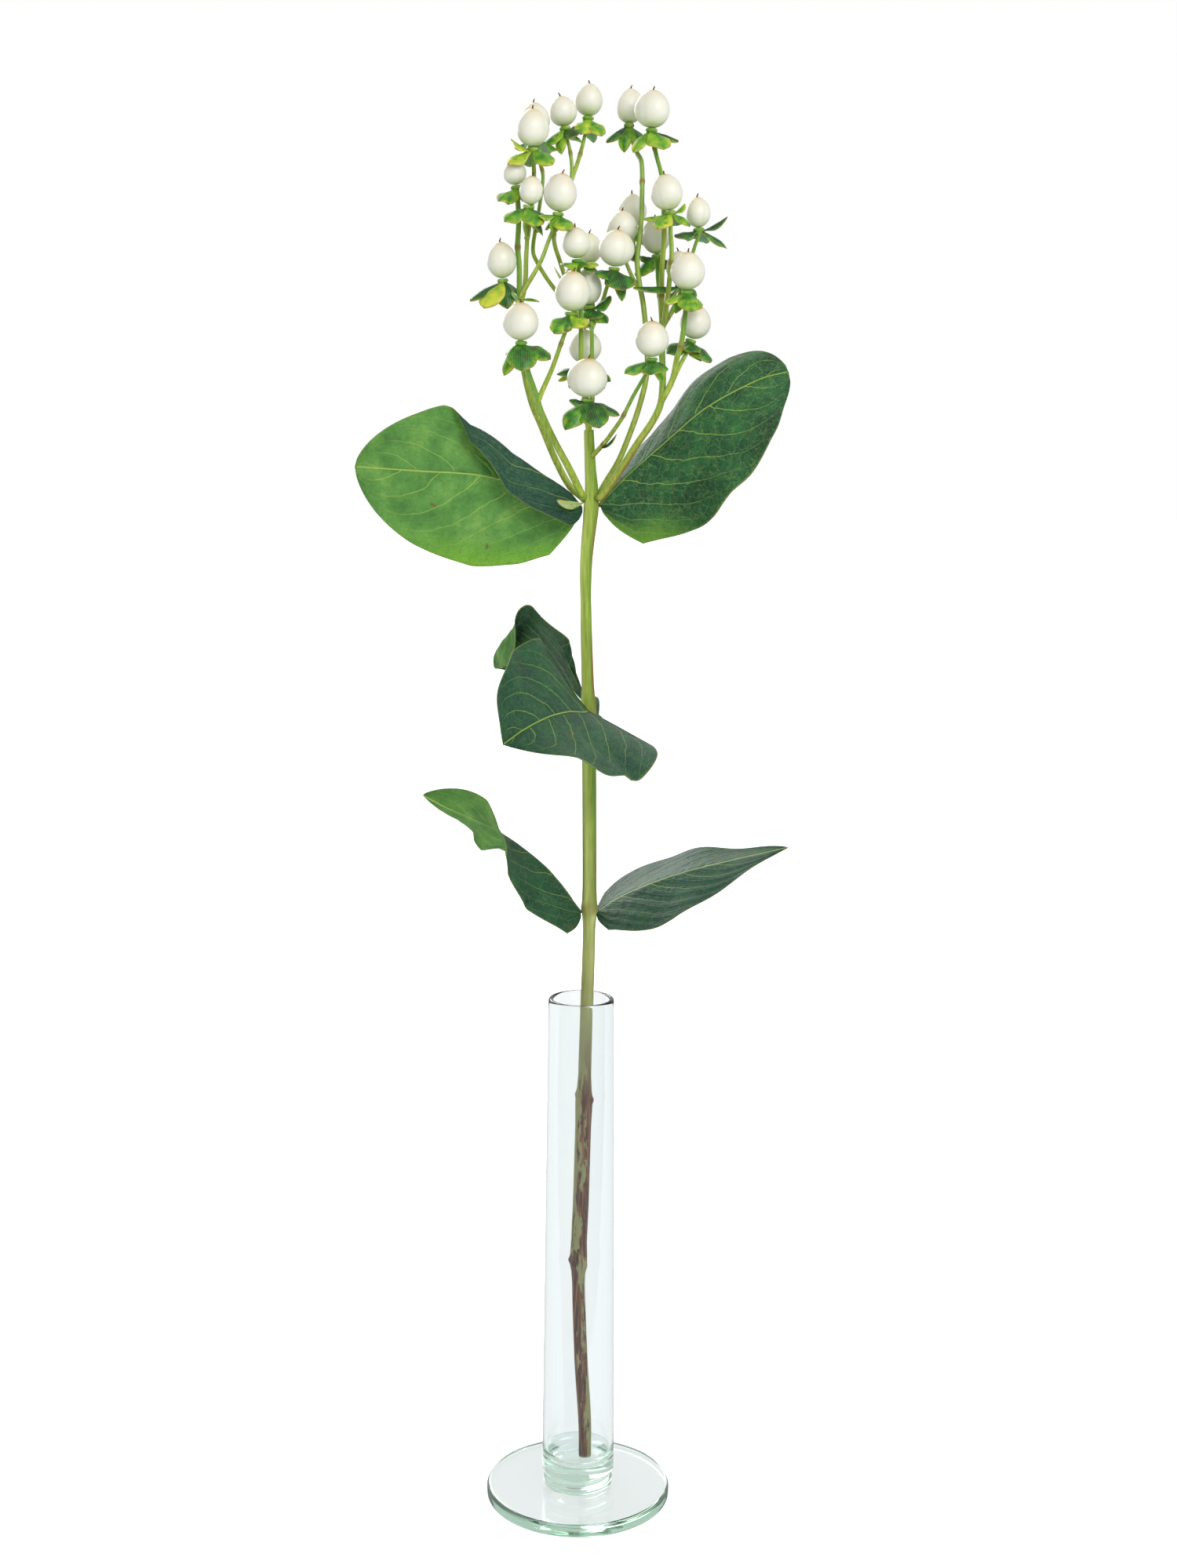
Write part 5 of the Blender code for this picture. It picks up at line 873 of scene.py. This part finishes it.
# --------------------------------------
# Sepals
# --------------------------------------
def sepal_line(berry, sepal, turn_by, lift_by, places):
    """The middle line of a sepal and its upward and sideways directions: a curve, quadratic about its knee, that
    leaves the receptacle nearly level and ends at the tip. The further a sepal points to the right or left, the more
    it is rolled about this line, with its near margin down."""
    side, other, axis = berry_frame(berry)
    tip = np.array(sepal[:3]) * MM
    rise = tip @ axis
    level = tip - axis * rise
    turn = math.atan2(level @ other, level @ side) + math.radians(turn_by)
    lift = math.atan2(rise, np.linalg.norm(level)) + math.radians(lift_by)
    out = side * math.cos(turn) + other * math.sin(turn)
    reach, rise = np.linalg.norm(tip) * math.cos(lift), np.linalg.norm(tip) * math.sin(lift)
    base = np.array(berry.base)
    root = base - axis * (GAP + SEPAL_ROOT_DEPTH) + out * SEPAL_ROOT_OUT
    knee = root + out * max(0.50 * reach, 0.0030) + axis * (0.0002 + 0.34 * rise)
    tip = base + out * reach + axis * rise
    s = np.asarray(places)[:, None]
    line = (1 - s) ** 2 * root + 2 * s * (1 - s) * knee + s ** 2 * tip
    slope = unit((1 - s) * (knee - root) + s * (tip - knee))
    across = np.cross(axis, out) + 0 * line
    normal = unit(np.cross(slope, across))
    roll = SIDE_ROLL * math.cos(turn) * np.clip(s / 0.4, 0, 1)
    return line, normal * np.cos(roll) - across * np.sin(roll), across * np.cos(roll) + normal * np.sin(roll)


def distance_to_rods(points, starts, ends, radii):
    """The distance from each point to the surface of each rod."""
    line = ends - starts
    offset = points[:, None] - starts
    share = np.clip((offset * line).sum(2) / (line * line).sum(1), 0, 1)
    return np.linalg.norm(offset - share[..., None] * line, axis=2) - radii


def obstacles():
    """Every berry and stalk as rods of one radius: starts, ends, radii, the berry that each belongs to, and the
    node that a stalk is in."""
    rods = []
    for name, berry in BERRIES.items():
        radius = berry.diameter / 2
        inner = max(berry.length / 2 - radius, 0.0002)
        middle = np.array(berry.base) + berry_frame(berry)[2] * berry.length / 2
        rods.append((middle - berry_frame(berry)[2] * inner, middle + berry_frame(berry)[2] * inner, radius, name, ""))
    for node, stalks in SPRAYS.items():
        for stalk in stalks:
            route, radii = stalk_tube(stalk)
            rods += [(start, end, radius, stalk.berry, node) for start, end, radius in zip(route, route[1:], radii)]
    return [np.array(column) for column in zip(*rods)]


def fitted_sepal(node, name, sepal, rods, taken):
    """The first of a row of small lifts and turns that keeps the sepal clear of the rest, and points on it."""
    starts, ends, radii, owners, nodes = rods
    near = (owners != name) | (nodes == "")
    slack = np.where(owners == name, OWN_BERRY_SLACK, np.where(nodes == node, OWN_SPRAY_SLACK, 0.0))[near]
    placed = np.vstack(taken) if taken else np.empty((0, 3))
    half = sepal[3] / 2 * MM * np.array([0.4, 0.8])
    best, best_room = None, -1.0
    for lift_by in FIT_LIFTS:
        for turn_by in FIT_TURNS:
            line, _, across = sepal_line(BERRIES[name], sepal, turn_by, lift_by, np.linspace(0, 1, 7))
            sides = [line[2:6] + sign * width * across[2:6] for sign in (-1, 1) for width in half]
            outer = np.vstack([line[1:], *sides])
            room = (distance_to_rods(outer, starts[near], ends[near], radii[near]) + slack).min()
            room = min(SEPAL_CLEARANCE, room - CAD_SEPAL_THICKNESS / 2)
            if len(placed):
                room = min(room, np.linalg.norm(outer[:, None] - placed, axis=2).min() - SEPAL_SPACING)
            if room > best_room:
                best, best_room = (turn_by, lift_by, outer), room
            if room >= SEPAL_CLEARANCE:
                return best
    return best


def blade_shape(line, normal, across, width, lime, draw):
    """A small fleshy blade: rings round a thin plate whose half width follows its outline, cupped as the square
    of the place across, with a raised keel and a slightly wavy margin."""
    along = np.linspace(0, 1, SEPAL_STATIONS)
    outline = np.interp(along, *SEPAL_OUTLINE)
    place = np.linspace(-1, 1, SEPAL_ACROSS)
    half = width / 2 * MM * outline
    lean = draw.uniform(-0.5, 0.5)
    size = min(1.6, width / 5)
    phase = along * draw.uniform(7, 11) + draw.uniform(0, 6)
    ripple = SEPAL_RIPPLE * size * np.sin(phase)[:, None] * place**2 * np.sign(place)
    cup = SEPAL_CUP * np.sin(np.pi * along**0.8)[:, None] * place**2 * (1 + lean * place) * size
    keel = SEPAL_KEEL * np.exp(-(place / 0.16) ** 2) * outline[:, None]
    middle = (line[:, None] + (half[:, None] * place)[..., None] * across[:, None]
              + (ripple - cup + keel)[..., None] * normal[:, None])
    thick = SEPAL_THICKNESS * (0.35 + 0.65 * np.sqrt(np.maximum(1 - place**2, 0))) * (0.4 + 0.6 * outline[:, None])
    upper = middle + (thick / 2)[..., None] * normal[:, None]
    lower = middle - (thick / 2)[..., None] * normal[:, None]
    both = np.concatenate([place, place[::-1]])
    return skin(np.concatenate([upper, lower[:, ::-1]], 1), {
        "edge": np.abs(both), "along": along[:, None], "under": np.repeat([0.0, 1.0], SEPAL_ACROSS),
        "across": both * half[:, None] / MM * 0.30, "lime": lime})


def sepal_shape(berry, sepal, turn_by, lift_by, draw):
    """A sepal: a small blade along its own middle line."""
    line, normal, across = sepal_line(berry, sepal, turn_by, lift_by, np.linspace(0, 1, SEPAL_STATIONS))
    return blade_shape(line, normal, across, sepal[3], sepal[4], draw)


def bract_shape(root, tip, sag, width, lime, draw):
    """A bract: a small blade from its root to its tip, which sags by a parabola between them and is turned about
    its own length by about 50 degrees."""
    s = np.linspace(0, 1, SEPAL_STATIONS)[:, None]
    root, tip = np.array(root), np.array(tip)
    line = root + s * (tip - root) - 4 * sag * MM * s * (1 - s) * [0, 0, 1]
    level = unit(np.cross([0, 0, 1], tip - root))
    across = 0.62 * level + 0.78 * np.cross(unit(tip - root), level) + 0 * line
    return blade_shape(line, unit(np.cross(np.gradient(line, axis=0), across)), across, width, lime, draw)


# --------------------------------------
# Leaves
# --------------------------------------
def half_angles(half, along, across):
    """The direction across the half, in radians above the level, at each place along and across it."""
    rise, bend, bend_at = (np.interp(along, *np.array(pairs).T) for pairs in (half.rise, half.bend, half.bend_at))
    ramp = np.clip((across[None] - bend_at[:, None]) / half.softness + 0.5, 0, 1)
    return np.radians(rise[:, None] + bend[:, None] * ramp * ramp * (3 - 2 * ramp))


def rounded_base(along):
    """How much of its width and of its lobes a leaf has near the stem, where its base rounds out."""
    return np.sqrt(np.clip(along / ROUND_BASE, 0.03, 1))


def leaf_width(leaf, along):
    """The leaf's outline: a broad rounded base, widest at its given place, then drawn in to the tip."""
    grow = leaf.base + (1 - leaf.base) * np.sin(np.clip(along / leaf.widest, 0, 1) * np.pi / 2)
    grow = grow * rounded_base(along)
    fall = np.clip((along - leaf.widest) / (1 - leaf.widest), 0, 1)
    return grow * (1 - fall**leaf.tip) ** leaf.point


def leaf_shape(leaf, teal, lime, turned_over):
    """A leaf: from each point of the midrib the two halves are drawn out step by step in the direction that
    half_angles gives, then waved along their margins. The blade swells a little between its side veins, which
    lie where vein_phase = SIDE_VEINS * (along - sweep) is a whole number."""
    along = np.linspace(0, 1, LEAF_STATIONS)
    place = np.linspace(0, 1, HALF_STEPS + 1)
    spine = smooth_route(leaf.midrib, LEAF_STATIONS)
    tangent = unit(np.gradient(spine, axis=0))
    level = unit(np.stack([tangent[:, 1], -tangent[:, 0], np.zeros(LEAF_STATIONS)], 1))
    up = np.cross(level, tangent)
    width = leaf_width(leaf, along)
    lobes = (leaf.lobes * np.clip(1 - along / LOBES_END, 0, 1) * rounded_base(along))[:, None, None] * tangent[:, None]
    halves, widths = {}, {}
    for half, sign in ((leaf.right, 1), (leaf.left, -1)):
        angle = half_angles(half, along, place)
        step = (half.width * width / HALF_STEPS)[:, None]
        zero = np.zeros((LEAF_STATIONS, 1))
        out = np.concatenate([zero, np.cumsum(np.cos(angle[:, :-1]) * step, 1)], 1)
        rise = np.concatenate([zero, np.cumsum(np.sin(angle[:, :-1]) * step, 1)], 1)
        ripple = half.wave * place**2 * (np.sin(2 * np.pi * leaf.waves * along + sign) * np.sqrt(width))[:, None]
        out, rise = out - ripple * np.sin(angle), rise + ripple * np.cos(angle)
        halves[sign] = (spine[:, None] + sign * out[..., None] * level[:, None] + rise[..., None] * up[:, None]
                        - (place**2)[:, None] * lobes)
        widths[sign] = half.width * width[:, None] * place
    grid = np.concatenate([halves[-1][:, :0:-1], halves[1]], 1)
    across = np.concatenate([-place[:0:-1], place])
    margin = np.abs(across)
    from_rib = np.concatenate([widths[-1][:, :0:-1], widths[1]], 1) / MM
    # The side veins of the two halves leave the midrib in turn.
    phase = SIDE_VEINS * (along[:, None] - 0.28 * margin - 0.30 * across**2) + np.where(across < 0, 0.45, 0.0) + 4.0
    normal = unit(np.cross(np.gradient(grid, axis=1), np.gradient(grid, axis=0)))
    normal[-1] = normal[-2]
    pucker = -LEAF_PUCKER * np.cos(2 * np.pi * phase) * np.clip(from_rib / 4, 0, 1) * np.clip((1 - margin) * 5, 0, 1)
    groove = -MIDRIB_GROOVE * np.exp(-(from_rib / 0.7) ** 2)
    grid = grid + (pucker + groove)[..., None] * normal
    thick = (LEAF_THICKNESS * (0.55 + 0.45 * np.clip((1 - margin) * 6, 0, 1))
             + MIDRIB_KEEL * np.exp(-(from_rib / 0.6) ** 2) * (1 - 0.7 * along[:, None]))
    # The last station has no width: the rings end before it, and its middle closes the tip.
    keep = slice(0, LEAF_STATIONS - 1)
    upper = grid + normal * (LEAF_THICKNESS / 2)
    lower = grid - normal * (thick - LEAF_THICKNESS / 2)[..., None]
    under = np.repeat([0.0, 1.0], len(across))
    if turned_over:
        under = (1 - under) * smooth_step(0.28, 0.48, along[keep, None])
    strength, inwards, towards_tip = lime
    limed = strength * smooth_step(*inwards, across[None]) * smooth_step(*towards_tip, along[:, None])
    marks = {mark: np.concatenate([values, values[:, ::-1]], 1)[keep]
             for mark, values in (("vein_phase", phase), ("from_midrib", from_rib), ("lime", limed))}
    return skin(np.concatenate([upper, lower[:, ::-1]], 1)[keep], {
        **marks, "edge": np.concatenate([margin, margin[::-1]]), "under": under, "teal": teal},
        end=grid[-1].mean(0))


# --------------------------------------
# Setting: camera, floor and light
# --------------------------------------
def set_the_scene():
    """The camera where the photo was taken from, a white floor, an even pale room and two soft lamps."""
    scene = bpy.context.scene
    scene.view_settings.view_transform = "Standard"
    # Light turns many times inside the foot's rim before it leaves.
    scene.cycles.max_bounces, scene.cycles.glossy_bounces, scene.cycles.transmission_bounces = 20, 10, 16
    camera = bpy.data.objects.new("camera", bpy.data.cameras.new("camera"))
    camera.data.lens, camera.data.sensor_width = 47.0, 36.0
    camera.data.clip_start, camera.data.clip_end = 0.02, 50.0
    camera.matrix_world = (Matrix.Translation((0.0021, -0.750, 0.4042)) @ Matrix.Rotation(math.radians(80.73), 4, "X")
                           @ Matrix.Rotation(math.radians(0.44), 4, "Z"))
    scene.collection.objects.link(camera)
    scene.camera = camera

    made, tree, shader = finish("matt_white_floor", {"Roughness": 0.9, "Emission Color": "#FFFFFF"})
    # The floor is as bright seen through the glass as beside it, and dim in reflections. It glows under the foot in
    # place of the light that the glass lets through.
    of_camera, through_glass, mirrored = (
        add(tree, "LightPath", out=kind) for kind in ("Is Camera Ray", "Is Transmission Ray", "Is Glossy Ray"))
    centre = add(tree, "VectorMath", {0: add(tree, "TexCoord", out="Object")}, operation="LENGTH")
    covered = add(tree, "MapRange", {"Value": centre, "From Min": 0.0375, "From Max": 0.0340})
    either = add(tree, "Math", {0: of_camera, 1: covered}, operation="MAXIMUM")
    bright = add(tree, "Math", {0: through_glass, 1: either}, operation="MAXIMUM")
    connect(shader, {
        "Base Color": add(tree, "Mix", {SHARE: mirrored, FIRST: "#FBFBFB", SECOND: "#77797B"}, data_type="RGBA"),
        "Emission Strength": add(tree, "MapRange", {"Value": bright, "To Min": 0.15, "To Max": 0.78})})
    floor = bpy.data.meshes.new("studio_floor")
    corners = [(x * FLOOR_REACH, y * FLOOR_REACH, FLOOR_LEVEL) for x, y in ((-1, -1), (1, -1), (1, 1), (-1, 1))]
    floor.from_pydata(corners, [], [(0, 1, 2, 3)])
    floor.materials.append(made)
    ground = bpy.data.objects.new("studio_floor", floor)
    scene.collection.objects.link(ground)

    world = bpy.data.worlds.new("studio")
    world.use_nodes = True
    scene.world = world
    tree = world.node_tree
    of_camera, through_glass, mirrored = (
        add(tree, "LightPath", out=kind) for kind in ("Is Camera Ray", "Is Transmission Ray", "Is Glossy Ray"))
    where = add(tree, "TexCoord", out="Generated")
    across, back = (add(tree, "SeparateXYZ", {0: where}, out=axis) for axis in "XY")
    # Greyer to the left and right, which draws the edges of the glass and shades the berries.
    sides = add(tree, "Math", {0: across}, operation="ABSOLUTE")
    band = add(tree, "ValToRGB", {"Fac": sides}, stops=[(0.40, "#DFDFDF"), (0.95, "#858D8B")])
    through = add(tree, "Math", {0: through_glass, 1: 0.6}, operation="MULTIPLY")
    clear = add(tree, "Math", {0: of_camera, 1: through}, operation="MAXIMUM")
    # The room behind the camera is dim in reflections, so that the glass keeps clear in front of the stem.
    ahead = add(tree, "MapRange", {"Value": back, "From Min": -0.25, "From Max": -0.75})
    dim = add(tree, "Math", {0: ahead, 1: mirrored}, operation="MULTIPLY")
    dimmed = add(tree, "Mix", {SHARE: dim, FIRST: band, SECOND: "#5C5F62"}, data_type="RGBA")
    soft = add(tree, "Mix", {SHARE: clear, FIRST: dimmed, SECOND: "#FFFFFF"}, data_type="RGBA")
    connect(tree.nodes["Background"], {"Color": soft, "Strength": 1.0})

    for name, place, aim, size, power in [
            ("soft_key", (0.55, -0.9, 0.95), (0, 0, 0.42), 0.6, 7.0),
            ("soft_back", (-0.5, 0.9, 0.9), (0, 0, 0.40), 0.8, 9.0)]:
        lamp = bpy.data.lights.new(name, "AREA")
        lamp.size, lamp.energy = size, power
        holder = bpy.data.objects.new(name, lamp)
        holder.rotation_euler = (Vector(aim) - Vector(place)).to_track_quat("-Z", "Y").to_euler()
        holder.location = place
        scene.collection.objects.link(holder)


# --------------------------------------
# Everything together
# --------------------------------------
def main():
    """Makes every piece."""
    set_the_scene()
    draw = np.random.default_rng(7)
    glass = blown_clear_glass()
    berry_skin, style = waxy_berry_skin(), dried_style()
    stem_skin, sepal_green, leaf_green = green_stem_skin(), sepal_tissue(), leaf_tissue()

    piece("glass_vase", [vase_shape()], [glass], "clear_glass", "vase")
    for name, berry in BERRIES.items():
        piece("capsule" + name[5:], berry_shapes(berry), [berry_skin, style], "ivory_berry", name)

    rods, taken = obstacles(), []
    for node, stalks in SPRAYS.items():
        blades, mine = [], []
        for stalk in stalks:
            for sepal in SEPALS[stalk.berry]:
                turn_by, lift_by, outer = fitted_sepal(node, stalk.berry, sepal, rods, taken)
                mine.append(outer)
                blades.append(sepal_shape(BERRIES[stalk.berry], sepal, turn_by, lift_by, draw))
        taken += mine
        tubes = []
        for place, stalk in enumerate(stalks):
            first = place == 0
            flushed = 0.9 if (first and node == "spray_right_outer") or stalk.berry == "berry_25" else 0.0
            tubes.append(stalk_shape(stalk, draw, flushed, STALK_FOOT if first and node != "main_stem" else 0.0))
        blades += [bract_shape(*bract[1:], draw) for bract in BRACTS if bract[0] == node]
        stem = node == "main_stem"
        if stem:
            piece("ridged_stem", [stem_shape()], [stem_skin], "green_stalk", node)
        name = "centre" if stem else node[6:]
        piece(name + "_stalks", tubes, [stem_skin], "green_stalk", node)
        piece(name + "_calyces", blades, [sepal_green], "green_stalk", node)

    for name, leaf in LEAVES.items():
        blade = leaf_shape(leaf, TEALS[name], LIMES.get(name, NOT_LIME), name == "leaf_middle_back")
        piece("blade_" + name[5:], [blade], [leaf_green], "leaf_green", name)


main()
